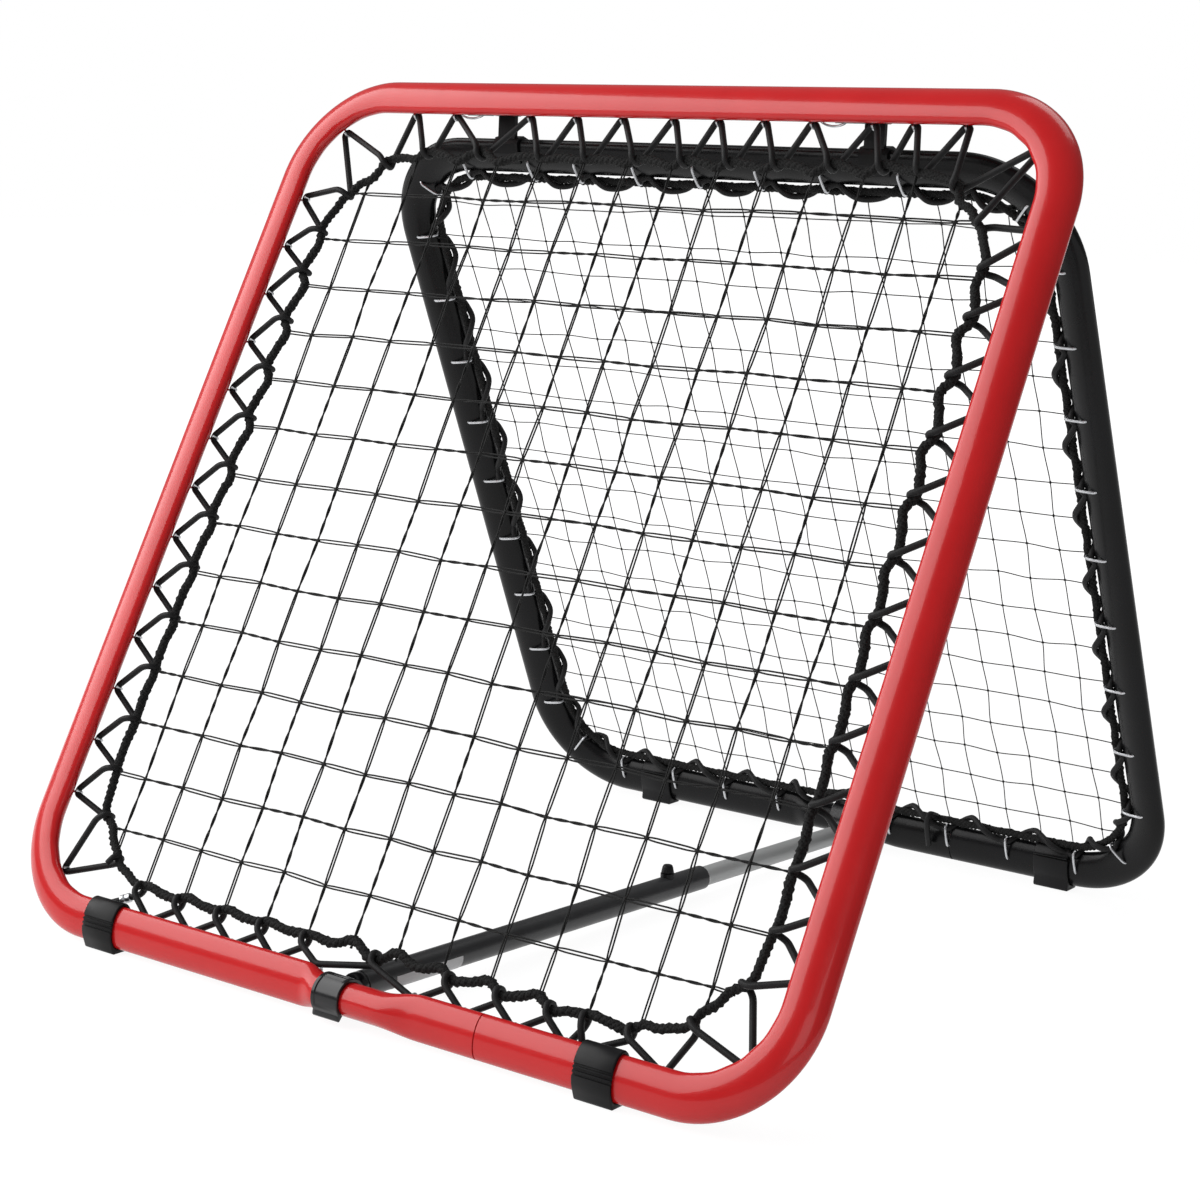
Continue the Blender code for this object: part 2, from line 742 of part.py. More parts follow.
def hinge_pin(name, x, parent, finish):
    """A headed pin with an eye for its ring."""
    half = LINK_WIDTH / 2 + LINK_PLAY + BRACKET_EAR
    eye = eye_centre(x)
    start = Vector((x + half + GAP + PIN_HEAD, PIVOT_BEHIND, PIVOT_ABOVE))
    shaft_end = start.x - (eye.x + PIN_EYE_HOLE + PIN_TIP_ROOM)
    profile = [(0, PIN_HEAD_RADIUS), (PIN_HEAD, PIN_HEAD_RADIUS), (PIN_HEAD, PIN_RADIUS)]
    profile += [(shaft_end - PIN_TAPER, PIN_RADIUS), (shaft_end, PIN_TIP_RADIUS)]
    made = object_from(turned(start, eye, profile, 12), name, parent, finish)
    rise = Z_AXIS * (PIN_EYE_THICKNESS / 2)
    plate = turned(eye - rise, eye + rise, [(0, PIN_EYE_RADIUS), (PIN_EYE_THICKNESS, PIN_EYE_RADIUS)], 16)
    combine(made, object_from(plate, "plate", parent), "UNION")
    deep = [(0, PIN_EYE_HOLE), (6 * PIN_EYE_THICKNESS, PIN_EYE_HOLE)]
    combine(made, object_from(turned(eye - 6 * rise, eye, deep, 12), "hole", parent), "DIFFERENCE")


def split_ring(name, x, parent, finish):
    """Two turns of wire through the pin's eye; the object's origin is the wire in that eye."""
    swing = Matrix.Rotation(RING_YAW, 3, "Z")
    centre = swing @ Vector((-RING_RADIUS, 0, 0))
    points = []
    steps = 12
    for i in range(RING_TURNS * steps + 1):
        angle = 2 * pi * i / steps
        drift = (i / steps - RING_TURNS / 2) * RING_PITCH
        points.append(centre + swing @ Vector((RING_RADIUS * cos(angle), drift, RING_RADIUS * sin(angle))))
    made = object_from(swept(cord_rings(points, RING_WIRE, 4)), name, parent, finish)
    made.location = eye_centre(x)


# Strut

def strut_ends():
    """The tubes' axis at each neck, seen from the middle of the front neck."""
    start = Vector((0, 0, STRUT_FRONT_RISE))
    end = Vector((STRUT_REAR_X - STRUT_FRONT_X, FLOOR_SPAN, -STRUT_REAR_DROP))
    return start, end


def strut_direction():
    start, end = strut_ends()
    return (end - start).normalized()


def clip(name, bore_centre, bore, axis_point, along, reach, flange, plug, parent, finish):
    """A snap clip round a neck, with a flange against the strut's tube and a plug inside it."""
    toward = 1 if along.y > 0 else -1
    outline = clip_outline(bore_centre, bore, toward)
    made = object_from(prism_along_x(outline, CLIP_WIDTH, bore_centre.x), name, parent, finish)
    root_distance = reach - CLIP_TAIL
    root = circle(axis_point + along * root_distance, *square_axes(along), flange * 0.92, 12)
    inner_side = bore_centre + Y_AXIS * (toward * (bore + CLIP_WALL * 0.25))
    sides = (Z_AXIS * (-CLIP_ROOT / 2), Z_AXIS * (CLIP_ROOT / 2))
    side = [inner_side + rise + Vector((x * CLIP_WIDTH * 0.4, 0, 0)) for rise in sides for x in (-1, 1)]
    combine(made, object_from(hull_solid(root + side), "block", parent), "UNION")
    face = CLIP_TAIL + CLIP_OVERLAP - GAP
    profile = [(0, flange * 0.9), (CLIP_OVERLAP, flange), (face, flange), (face, plug)]
    profile += [(face + PLUG_LENGTH, plug)]
    start = axis_point + along * (root_distance - CLIP_OVERLAP)
    combine(made, object_from(turned(start, start + along, profile, 16), "plug", parent), "UNION")


def clip_outline(centre, bore, toward):
    """(y, z) of a C that is open below, away from the strut, with a flared edge."""

    def around(degrees_round, radius):
        angle = radians(degrees_round)
        return centre.y + toward * radius * cos(angle), centre.z + radius * sin(angle)

    outer = bore + CLIP_WALL
    start, end = CLIP_WRAP
    steps = [start + (end - start) * i / CLIP_STEPS for i in range(CLIP_STEPS + 1)]
    skin = [around(step, outer) for step in steps[:-1]]
    lip = [around(end - 9, outer), around(end - 3, outer + CLIP_LIP), around(end, outer + CLIP_LIP)]
    return skin + lip + [around(step, bore) for step in reversed(steps)]


def square_axes(along):
    side = along.cross(Z_AXIS).normalized()
    return side, side.cross(along)


def strut_outer(parent, finish):
    start, _ = strut_ends()
    along = strut_direction()
    base = start + along * STRUT_OUTER_START
    tube = pipe(base, along, STRUT_OUTER_LENGTH, STRUT_OUTER_RADIUS, STRUT_OUTER_WALL, 16)
    made = object_from(tube, "strut_outer_tube", parent, finish)
    combine(made, clamp_hole(parent), "DIFFERENCE")


def clamp_point():
    start, _ = strut_ends()
    return start + strut_direction() * (STRUT_OUTER_START + STRUT_OUTER_LENGTH - CLAMP_FROM_END)


def clamp_hole(parent):
    _, up = square_axes(strut_direction())
    middle = clamp_point()
    radius = KNOB_STEM_RADIUS + GAP
    return object_from(turned(middle, middle + up, [(0, radius), (CLAMP_CUT, radius)], 10), "hole", parent)


def clamp_nut(parent, finish):
    """The threaded boss on the outer tube."""
    _, up = square_axes(strut_direction())
    middle = clamp_point()
    top = STRUT_OUTER_RADIUS + CLAMP_NUT_HEIGHT
    boss = turned(middle, middle + up, [(STRUT_INNER_RADIUS, CLAMP_NUT_RADIUS), (top, CLAMP_NUT_RADIUS)], 12)
    made = object_from(boss, "strut_clamp_nut", parent, finish)
    along = strut_direction()
    radius = STRUT_OUTER_RADIUS + GAP
    room = turned(middle - along * CLAMP_CUT, middle, [(0, radius), (2 * CLAMP_CUT, radius)], 16)
    combine(made, object_from(room, "room", parent), "DIFFERENCE")
    combine(made, clamp_hole(parent), "DIFFERENCE")


def clamp_knob(parent, finish):
    """A tapered knob on a screw that presses on the inner tube."""
    _, up = square_axes(strut_direction())
    foot_of_screw = STRUT_INNER_RADIUS + GAP
    knob = STRUT_OUTER_RADIUS + CLAMP_NUT_HEIGHT + KNOB_GAP
    profile = [(foot_of_screw, KNOB_STEM_RADIUS), (knob, KNOB_STEM_RADIUS), (knob, KNOB_BASE_RADIUS)]
    profile += [(knob + KNOB_HEIGHT - KNOB_EDGE, KNOB_TOP_RADIUS), (knob + KNOB_HEIGHT, KNOB_TOP_RADIUS - KNOB_EDGE)]
    made = object_from(turned(Vector(), up, profile, 10), "strut_clamp_knob", parent, finish)
    made.location = clamp_point()


def inner_span():
    """Where the inner tube starts and ends along the strut."""
    start, end = strut_ends()
    front = STRUT_OUTER_START + STRUT_OUTER_LENGTH - STRUT_OVERLAP
    return front, (end - start).length - REAR_REACH


def strut_inner(parent, finish):
    start, _ = strut_ends()
    along = strut_direction()
    front, rear = inner_span()
    tube = pipe(Vector(), along, rear - front, STRUT_INNER_RADIUS, STRUT_INNER_WALL, 16)
    object_from(tube, "strut_inner_tube", parent, finish)


def inner_stop(parent, finish):
    """The plastic plug that closes the inner tube's hidden end and slides in the outer tube."""
    along = strut_direction()
    inside = STRUT_INNER_RADIUS - STRUT_INNER_WALL - PLUG_CLEARANCE
    profile = [(0, STRUT_INNER_RADIUS), (STOP_HEAD, STRUT_INNER_RADIUS)]
    profile += [(STOP_HEAD, inside), (STOP_HEAD + STOP_PLUG, inside)]
    object_from(turned(along * (-STOP_HEAD - GAP), along, profile, 16), "strut_inner_stop", parent, finish)


# The whole object

def build_frame(name, line, rope, face, setback, spots, points, datum, paint):
    """One frame with its rope and bungee."""
    tube = frame_tube(name + "_frame_tube", line, face, datum, paint)
    add_hooks(tube, face, spots)
    joint_sleeve(name + "_joint_sleeve", line, face, datum, ZINC)
    border_rope(name + "_border_rope", rope, face, setback, datum, BLACK_CORD)
    bungee(name + "_bungee", points, datum, BLACK_CORD)


def build_front(datum):
    line = bar_line(FRONT_WIDTH, FRONT_HEIGHT)
    fittings = fittings_on(FRONT_FOOT_X, FRONT_FOOT_SHIFT, STRUT_FRONT_X, FRONT_CLIP_SIDE_ROOM, bracket_width())
    spots = hook_spots(line, FRONT_HOOKS, FRONT_HOOK_PITCHES, fittings)
    points = zigzag_points(front_rope(), -1, FRONT_NET_SETBACK, spots)
    build_frame("front", line, front_rope(), -1, FRONT_NET_SETBACK, spots, points, datum, RED_PAINT)
    crimp("front_bungee_crimp", *points[1:3], datum, ZINC)
    net("front_net", front_rope(), FRONT_NET_INSET, -1, FRONT_NET_SETBACK, FRONT_NET_GAPS, FRONT_TWINE, datum, BLACK_TWINE)


def build_rear(datum):
    line = bar_line(REAR_WIDTH, REAR_HEIGHT)
    fittings = fittings_on(REAR_FOOT_X, REAR_FOOT_SHIFT, STRUT_REAR_X, REAR_CLIP_SIDE_ROOM, LINK_SADDLE_WIDTH)
    spots = hook_spots(line, REAR_HOOKS, REAR_HOOK_PITCHES, fittings)
    points = wrap_points(rear_rope(), 1, REAR_NET_SETBACK, spots)
    build_frame("rear", line, rear_rope(), 1, REAR_NET_SETBACK, spots, points, datum, BLACK_PAINT)
    net("rear_net", rear_rope(), REAR_NET_INSET, 1, REAR_NET_SETBACK, REAR_NET_GAPS, REAR_TWINE, datum, BLACK_TWINE)


def place_hinge(front, rear):
    for side, name in ((-1, "left"), (1, "right")):
        x = LINK_SHIFT + side * LINK_SPREAD
        hinge_bracket(name + "_hinge_bracket", x, front, BLACK_STEEL)
        hinge_link(name + "_hinge_link", x, rear, BLACK_STEEL)
        hinge_pin(name + "_hinge_pin", x, front, BRIGHT_STEEL)
        split_ring(name + "_split_ring", x, front, BRIGHT_STEEL)


def place_feet(front, rear):
    for side, name in ((-1, "left"), (1, "right")):
        foot("front_" + name + "_foot", FRONT_FOOT_SHIFT + side * FRONT_FOOT_X, -1, -FRONT_LEAN,
             FRONT_HEIGHT, front, BLACK_PLASTIC)
        foot("rear_" + name + "_foot", REAR_FOOT_SHIFT + side * REAR_FOOT_X, 1, REAR_LEAN,
             REAR_HEIGHT, rear, BLACK_PLASTIC)


def place_strut():
    neck = empty("front_neck", (STRUT_FRONT_X, FRONT_BAR_Y, BAR_RISE))
    start, end = strut_ends()
    along = strut_direction()
    clip("front_strut_clip", Vector(), NECK_RADIUS + GAP, start, along, STRUT_OUTER_START,
         STRUT_OUTER_RADIUS, STRUT_OUTER_RADIUS - STRUT_OUTER_WALL - PLUG_CLEARANCE,
         neck, BLACK_PLASTIC)
    strut_outer(neck, DARK_METAL)
    clamp_nut(neck, BLACK_STEEL)
    clamp_knob(neck, BLACK_PLASTIC)
    front_end, _ = inner_span()
    slide = empty("strut_slide", start + along * front_end, neck)
    strut_inner(slide, ALUMINIUM)
    inner_stop(slide, BLACK_PLASTIC)
    rear_neck = Vector((STRUT_REAR_X - STRUT_FRONT_X, FLOOR_SPAN, 0)) - slide.location
    bore_centre = rear_neck + Vector((0, REAR_CLIP_SHIFT_Y, REAR_CLIP_SHIFT_Z))
    clip("rear_strut_clip", bore_centre, NECK_RADIUS + GAP + REAR_CLIP_ROOM, end - slide.location, -along,
         REAR_REACH, STRUT_INNER_RADIUS, STRUT_INNER_RADIUS - STRUT_INNER_WALL - PLUG_CLEARANCE,
         slide, BLACK_PLASTIC)


def frame_datum(name, y, z, lean):
    datum = empty(name, (0, y, z))
    datum.rotation_euler = (lean, 0, 0)
    return datum


def front_rope():
    return RoundedRectangle(FRONT_WIDTH / 2 - FRONT_ROPE_SIDE_INSET, -FRONT_ROPE_TOP_INSET,
                            -FRONT_HEIGHT + FRONT_ROPE_BOTTOM_INSET, FRONT_ROPE_CORNER)


def rear_rope():
    return RoundedRectangle(REAR_WIDTH / 2 - REAR_ROPE_INSET, -REAR_ROPE_INSET,
                            -REAR_HEIGHT + REAR_ROPE_INSET, REAR_ROPE_CORNER)


clear_scene()

RED_PAINT = material("red_paint", (0.60, 0.03, 0.03), 0.28)
BLACK_PAINT = material("black_paint", (0.012, 0.012, 0.013), 0.42)
BLACK_PLASTIC = material("black_plastic", (0.014, 0.014, 0.015), 0.45)
BLACK_STEEL = material("black_steel", (0.015, 0.015, 0.016), 0.38, 0.4)
BRIGHT_STEEL = material("bright_steel", (0.62, 0.62, 0.63), 0.22, 1.0)
DARK_METAL = material("dark_metal", (0.075, 0.078, 0.085), 0.35, 0.5)
ALUMINIUM = material("aluminium", (0.60, 0.61, 0.62), 0.30, 1.0)
ZINC = material("zinc", (0.45, 0.46, 0.48), 0.40, 1.0)
BLACK_CORD = material("black_cord", (0.016, 0.016, 0.017), 0.80)
BLACK_TWINE = material("black_twine", (0.015, 0.015, 0.015), 0.70)

front = frame_datum("front_datum", FRONT_TOP_Y, FRONT_TOP_Z, -FRONT_LEAN)
rear = frame_datum("rear_datum", REAR_TOP_Y, REAR_TOP_Z, REAR_LEAN)

build_front(front)
build_rear(rear)
place_feet(front, rear)
place_hinge(front, rear)
place_strut()
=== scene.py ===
"""The folding ball rebounder, dressed: smooth tubes, twisted nets, lacing, fittings, light and camera."""

import random
from math import copysign, cos, exp, pi, radians, sin

import bmesh
import bpy
from mathutils import Matrix, Vector


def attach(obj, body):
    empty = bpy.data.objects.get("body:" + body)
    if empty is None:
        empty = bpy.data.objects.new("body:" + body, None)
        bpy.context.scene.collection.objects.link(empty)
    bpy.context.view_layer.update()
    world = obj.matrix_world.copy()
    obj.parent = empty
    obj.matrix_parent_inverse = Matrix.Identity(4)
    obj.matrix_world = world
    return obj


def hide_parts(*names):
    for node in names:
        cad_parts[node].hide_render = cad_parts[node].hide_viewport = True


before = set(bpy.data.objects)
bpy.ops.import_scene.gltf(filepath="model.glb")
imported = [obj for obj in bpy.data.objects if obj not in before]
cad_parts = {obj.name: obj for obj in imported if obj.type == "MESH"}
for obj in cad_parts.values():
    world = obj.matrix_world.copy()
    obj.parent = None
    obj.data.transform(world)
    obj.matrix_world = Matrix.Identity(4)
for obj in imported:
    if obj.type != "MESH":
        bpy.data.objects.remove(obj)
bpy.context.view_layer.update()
chance = random.Random(11)

# Measures in metres and radians. A frame's own axes start at the middle of its top bar, with Z up
# its plane. face is -1 for the front frame, which looks along -Y, and 1 for the rear one.

X_AXIS, Y_AXIS, Z_AXIS = Vector((1, 0, 0)), Vector((0, 1, 0)), Vector((0, 0, 1))
GAP = 0.0003
FRONT_WIDTH, FRONT_HEIGHT = 0.730, 0.738
REAR_WIDTH, REAR_HEIGHT = 0.644, 0.654
CORNER = 0.078
FRONT_LEAN, REAR_LEAN = radians(28.87), radians(23.40)
BAR_RISE = 0.0202
FLOOR_SPAN = 0.6636
FRONT_BAR_Y = -0.3322
REAR_BAR_Y = FRONT_BAR_Y + FLOOR_SPAN
FRONT_TOP = Vector((0, FRONT_BAR_Y + FRONT_HEIGHT * sin(FRONT_LEAN),
                    BAR_RISE + FRONT_HEIGHT * cos(FRONT_LEAN)))
REAR_TOP = Vector((0, REAR_BAR_Y - REAR_HEIGHT * sin(REAR_LEAN),
                   BAR_RISE + REAR_HEIGHT * cos(REAR_LEAN)))
SEAM_X, SEAM_GAP = 0.123, 0.0012
OVAL_WIDE, OVAL_DEEP = 0.0165, 0.0084
CANT = radians(15)
BEND_RIPPLE = 0.00032
NECK_RADIUS, NECK_DROP = 0.0127, 0.0017
NECK_LEFT, NECK_RIGHT = (-0.046, 0.020), (0.068, 0.038)  # (end, length of its slope)
FRONT_FEET, REAR_FEET = (-0.260, 0.228), (-0.203, 0.225)
LINKS = (-0.190, 0.172)
STRUT_FRONT_X, STRUT_REAR_X = -0.012, 0.014

# How far hooks stay from the middle of each fitting
FOOT_CLEAR, BRACKET_CLEAR, LINK_CLEAR = 0.0230, 0.0209, 0.0195
FRONT_CLIP_CLEAR, REAR_CLIP_CLEAR = 0.0275, 0.0335

# Hooks and bungees
BUNGEE, BUNGEE_BEND, WIRE = 0.0026, 0.0040, 0.0011
HOOK_LAY = {-1: radians(58), 1: radians(35)}
STRUT_HOOK_NEAR, STRUT_HOOK_SHIFT = 0.04, (0, -0.0035, 0.0040)
SEAT_HALF, SEAT_SINK = 0.0022, 0.001
TURN_PULL, TURN_BITE, TURN_REACH, TURN_HALF, TURN_LIFT = 0.0050, 0.0005, 0.0066, 0.0022, 0.002
WIND_START, WIND_SIZE, WIND_WAVE = 60, 0.0064, 0.0006
REAR_TAIL = ((0.109, 0.002, -0.629), (0.1085, -0.008, -0.6205), (0.107, -0.0128, -0.628),
             (0.1045, -0.0128, -0.652))
CRIMP_AT, CRIMP_HALF = 0.62, 0.0045
CRIMP = [(0, 0.0030), (0.0004, 0.0037), (0.0040, 0.0038), (0.0045, 0.0034), (0.0050, 0.0038),
         (0.0086, 0.0037), (0.009, 0.0030)]

# Ropes and nets
FRONT_SETBACK, REAR_SETBACK = 0.008, -0.003
ROPE_STEP, ROPE_CORNER_STEPS = 0.0032, 28
FRONT_ROPE, REAR_ROPE = 0.0039, 0.0035
FRONT_ROPE_SIDE, FRONT_ROPE_TOP, FRONT_ROPE_BOTTOM, FRONT_ROPE_CORNER = 0.0440, 0.0480, 0.0345, 0.092
REAR_ROPE_INSET, REAR_ROPE_CORNER = 0.0212, 0.060
FRONT_PITCH, REAR_PITCH = 0.015, 0.014
FRONT_TWINE_PULL, REAR_TWINE_PULL = 0.0064, 0.0010
TURN_SPREAD, TWINE_SPREAD, SPREAD_END = 0.010, 0.011, 0.04
CLIP_RISE, CLIP_SPREAD = 0.0050, 0.026
STRAND_OFFSET, STRAND_SIZE = 0.40, 0.66
FRONT_MESH, REAR_MESH = (0.0440, 0.0442), (0.0305, 0.0310)
FRONT_TWINE, REAR_TWINE = 0.00070, 0.00050
FRONT_KNOT, REAR_KNOT = 0.00140, 0.00095
TWINE_OPENINGS, TWINE_CLOSE, TWINE_END = (0.00125, 0.00125, 0.0010, 0.00062, 0.00062), 0.00055, 0.0006
NET_MARGIN = 0.010

FRONT = Matrix.Translation(FRONT_TOP) @ Matrix.Rotation(-FRONT_LEAN, 4, "X")
REAR = Matrix.Translation(REAR_TOP) @ Matrix.Rotation(REAR_LEAN, 4, "X")


# Materials

def nodes_of(name, rough, metal=0.0, **sockets):
    made = bpy.data.materials.new(name)
    made.use_nodes = True
    tree = made.node_tree
    shader = tree.nodes["Principled BSDF"]
    shader.inputs["Roughness"].default_value = rough
    shader.inputs["Metallic"].default_value = metal
    for label, value in sockets.items():
        shader.inputs[label.replace("_", " ")].default_value = value
    return made, tree, shader


def add(tree, kind, inputs=None, **settings):
    node = tree.nodes.new(kind)
    for key, value in settings.items():
        setattr(node, key, value)
    for key, value in (inputs or {}).items():
        if isinstance(value, bpy.types.NodeSocket):
            tree.links.new(value, node.inputs[key])
        else:
            node.inputs[key].default_value = value
    return node


def figure(tree, operation, *values):
    """The result of a math node."""
    return add(tree, "ShaderNodeMath", dict(enumerate(values)), operation=operation).outputs[0]


def noise(tree, scale, detail=4.0, stretch=(1, 1, 1)):
    place = add(tree, "ShaderNodeTexCoord")
    mapped = add(tree, "ShaderNodeMapping", {"Vector": place.outputs["Object"], "Scale": stretch})
    made = add(tree, "ShaderNodeTexNoise", {"Vector": mapped.outputs[0], "Scale": scale, "Detail": detail})
    return made.outputs["Fac"]


def ramp(tree, value, first, second, low=0.3, high=0.7):
    made = add(tree, "ShaderNodeValToRGB", {"Fac": value})
    made.color_ramp.elements[0].position = low
    made.color_ramp.elements[1].position = high
    made.color_ramp.elements[0].color = (*first, 1)
    made.color_ramp.elements[1].color = (*second, 1)
    return made.outputs["Color"]


def spread(tree, value, low, high):
    span = {"Value": value, "From Min": 0.25, "From Max": 0.75, "To Min": low, "To Max": high}
    return add(tree, "ShaderNodeMapRange", span).outputs["Result"]


def bump(tree, height, strength, distance, under=None):
    inputs = {"Height": height, "Strength": strength, "Distance": distance}
    if under:
        inputs["Normal"] = under
    return add(tree, "ShaderNodeBump", inputs).outputs["Normal"]


def surface(name, first, second, rough, metal=0.0, patch=30.0, grain=900.0, depth=0.00006,
            strength=0.25, stretch=(1, 1, 1), **sockets):
    """A moulded, painted or metal surface: patchy colour, uneven gloss and a fine grain."""
    made, tree, shader = nodes_of(name, rough[0], metal, **sockets)
    wide = noise(tree, patch, 3.0, stretch)
    fine = noise(tree, grain, 2.0, stretch)
    tree.links.new(ramp(tree, wide, first, second), shader.inputs["Base Color"])
    tree.links.new(spread(tree, noise(tree, patch * 3, 5.0, stretch), *rough), shader.inputs["Roughness"])
    tree.links.new(bump(tree, fine, strength, depth), shader.inputs["Normal"])
    return made


def paint(name, first, second, rough, **sockets):
    """Powder coat: an orange-peel skin over slow waves."""
    made, tree, shader = nodes_of(name, rough[0], **sockets)
    tree.links.new(ramp(tree, noise(tree, 18.0), first, second), shader.inputs["Base Color"])
    tree.links.new(spread(tree, noise(tree, 55.0), *rough), shader.inputs["Roughness"])
    waves = bump(tree, noise(tree, 42.0, 2.0), 0.35, 0.0007)
    tree.links.new(bump(tree, noise(tree, 700.0, 2.0), 0.22, 0.00008, waves), shader.inputs["Normal"])
    return made


def braid(name, first, second, rough, turns, rate, depth, **sockets):
    """Crossed diagonal threads laid by u round the cord and v along it."""
    made, tree, shader = nodes_of(name, rough, **sockets)
    spot = add(tree, "ShaderNodeUVMap", uv_map="lay")
    split = add(tree, "ShaderNodeSeparateXYZ", {"Vector": spot.outputs[0]})
    waves = []
    for way in (1, -1):
        round_part = figure(tree, "MULTIPLY", split.outputs["X"], 2 * pi * turns * way)
        long_part = figure(tree, "MULTIPLY", split.outputs["Y"], 2 * pi * rate)
        waves.append(figure(tree, "SINE", figure(tree, "ADD", round_part, long_part)))
    woven = figure(tree, "MAXIMUM", *waves)
    whole = {"Value": woven, "From Min": -0.6, "From Max": 1.0}
    height = add(tree, "ShaderNodeMapRange", whole).outputs["Result"]
    fuzz = noise(tree, 1500.0, 2.0)
    # Painted shade: the colour is darker in the grooves between the crossed threads and lighter on their
    # crests, with a random fibre tone from the fine noise on top.
    groove_shade_and_fuzz = figure(tree, "MULTIPLY", height, fuzz)
    tree.links.new(ramp(tree, groove_shade_and_fuzz, first, second, 0.0, 0.6), shader.inputs["Base Color"])
    fibre = bump(tree, fuzz, 0.3, depth * 0.5)
    tree.links.new(bump(tree, height, 0.8, depth, fibre), shader.inputs["Normal"])
    return made


RED = paint("red_paint", (0.560, 0.007, 0.009), (0.610, 0.010, 0.012), (0.20, 0.27),
            Coat_Weight=0.34, Coat_Roughness=0.05, Specular_IOR_Level=0.28)
BLACK = paint("black_paint", (0.004, 0.004, 0.004), (0.006, 0.006, 0.007), (0.22, 0.30),
              Specular_IOR_Level=0.17)
PLASTIC = surface("black_plastic", (0.005, 0.005, 0.005), (0.008, 0.008, 0.009), (0.34, 0.46),
                  Specular_IOR_Level=0.18)
GLOSSY = surface("glossy_plastic", (0.006, 0.006, 0.007), (0.009, 0.009, 0.010), (0.16, 0.26),
                 depth=0.00003, Specular_IOR_Level=0.4)
STEEL = surface("black_steel", (0.005, 0.005, 0.005), (0.009, 0.009, 0.010), (0.30, 0.42), 0.2,
                Specular_IOR_Level=0.18)
BRIGHT = surface("bright_steel", (0.62, 0.62, 0.63), (0.72, 0.72, 0.73), (0.16, 0.26), 1.0, 120.0)
ZINC = surface("zinc", (0.50, 0.51, 0.53), (0.66, 0.67, 0.69), (0.26, 0.42), 1.0, 160.0)
DARK = surface("dark_metal", (0.020, 0.020, 0.022), (0.028, 0.029, 0.031), (0.30, 0.40), 0.1,
               Specular_IOR_Level=0.50)
ALUMINIUM = surface("aluminium", (0.40, 0.41, 0.41), (0.52, 0.53, 0.53), (0.44, 0.58), 0.35, 60.0,
                    stretch=(1, 0.04, 1), strength=0.4)
LABEL = surface("label_film", (0.58, 0.59, 0.60), (0.66, 0.67, 0.68), (0.34, 0.44))
CORD = braid("bungee_cord", (0.004, 0.004, 0.004), (0.017, 0.017, 0.018), 0.50, 8, 900, 0.00010,
             Specular_IOR_Level=0.20)
ROPE = braid("knitted_rope", (0.002, 0.002, 0.002), (0.015, 0.015, 0.015), 0.80, 4, 420, 0.00028,
             Specular_IOR_Level=0.22)
TWINE = braid("twine", (0.003, 0.003, 0.003), (0.014, 0.014, 0.014), 0.70, 1, 520, 0.00016,
              Specular_IOR_Level=0.25)


# Shapes: rings of points joined into skins, with u round them and v along them

def transported(points, closed=False):
    """(side, up) at each point of a path, carried along it without twist."""
    count = len(points)
    axes = []
    up = None
    for i, point in enumerate(points):
        before = points[i - 1] if i or closed else point
        after = points[(i + 1) % count] if i + 1 < count or closed else point
        along = (after - before).normalized()
        if up is None:
            up = Y_AXIS if abs(along.dot(Y_AXIS)) < 0.8 else Z_AXIS
        side = along.cross(up).normalized()
        up = side.cross(along).normalized()
        axes.append((side, up))
    return axes


def ring(centre, side, up, wide, deep, sides):
    steps = [2 * pi * i / sides for i in range(sides)]
    return [centre + side * (wide * cos(a)) + up * (deep * sin(a)) for a in steps]


def lengths(points):
    found = [0.0]
    for before, after in zip(points, points[1:]):
        found.append(found[-1] + (after - before).length)
    return found


class Shape:
    """Skins gathered into one mesh."""

    def __init__(self):
        self.points = []
        self.faces = []
        self.lay = []

    def skin(self, rings, along, closed=False, capped=True):
        start, sides, count = len(self.points), len(rings[0]), len(rings)
        for made in rings:
            self.points += made
        for i in range(count if closed else count - 1):
            j = (i + 1) % count
            low, high = along[i], along[j] if j else 2 * along[-1] - along[-2]
            for k in range(sides):
                m = (k + 1) % sides
                corners = ((i, k), (i, m), (j, m), (j, k))
                self.faces.append([start + a * sides + b for a, b in corners])
                left, right = k / sides, (k + 1) / sides
                self.lay += [(left, low), (right, low), (right, high), (left, high)]
        if capped and not closed:
            for first in (start, start + (count - 1) * sides):
                self.faces.append(list(range(first, first + sides)))
                self.lay += [(0.5, along[0])] * sides

    def cord(self, points, radius, sides, closed=False):
        axes = transported(points, closed)
        sizes = radius if isinstance(radius, list) else [radius] * len(points)
        rings = [ring(p, *a, r, r, sides) for p, a, r in zip(points, axes, sizes)]
        self.skin(rings, lengths(points), closed)

    def turned(self, start, along, profile, sides=40):
        """profile holds (distance, radius)."""
        side = along.cross(Z_AXIS if abs(along.z) < 0.9 else Y_AXIS).normalized()
        up = side.cross(along)
        rings = [ring(start + along * d, side, up, r, r, sides) for d, r in profile]
        self.skin(rings, [d for d, _ in profile])

    def piece(self, name, finish, body, place=None, node=None, sharp=40):
        mesh = bpy.data.meshes.new(name)
        mesh.from_pydata([tuple(p) for p in self.points], [], self.faces)
        mesh.uv_layers.new(name="lay")
        mesh.uv_layers["lay"].data.foreach_set("uv", [value for pair in self.lay for value in pair])
        bm = bmesh.new()
        bm.from_mesh(mesh)
        bmesh.ops.recalc_face_normals(bm, faces=bm.faces)
        bm.to_mesh(mesh)
        bm.free()
        if place:
            mesh.transform(place)
        mesh.shade_smooth()
        mesh.set_sharp_from_angle(angle=radians(sharp))
        mesh.materials.append(finish)
        made = bpy.data.objects.new(name, mesh)
        bpy.context.scene.collection.objects.link(made)
        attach(made, body)
        if node:
            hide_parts(node)
        return made


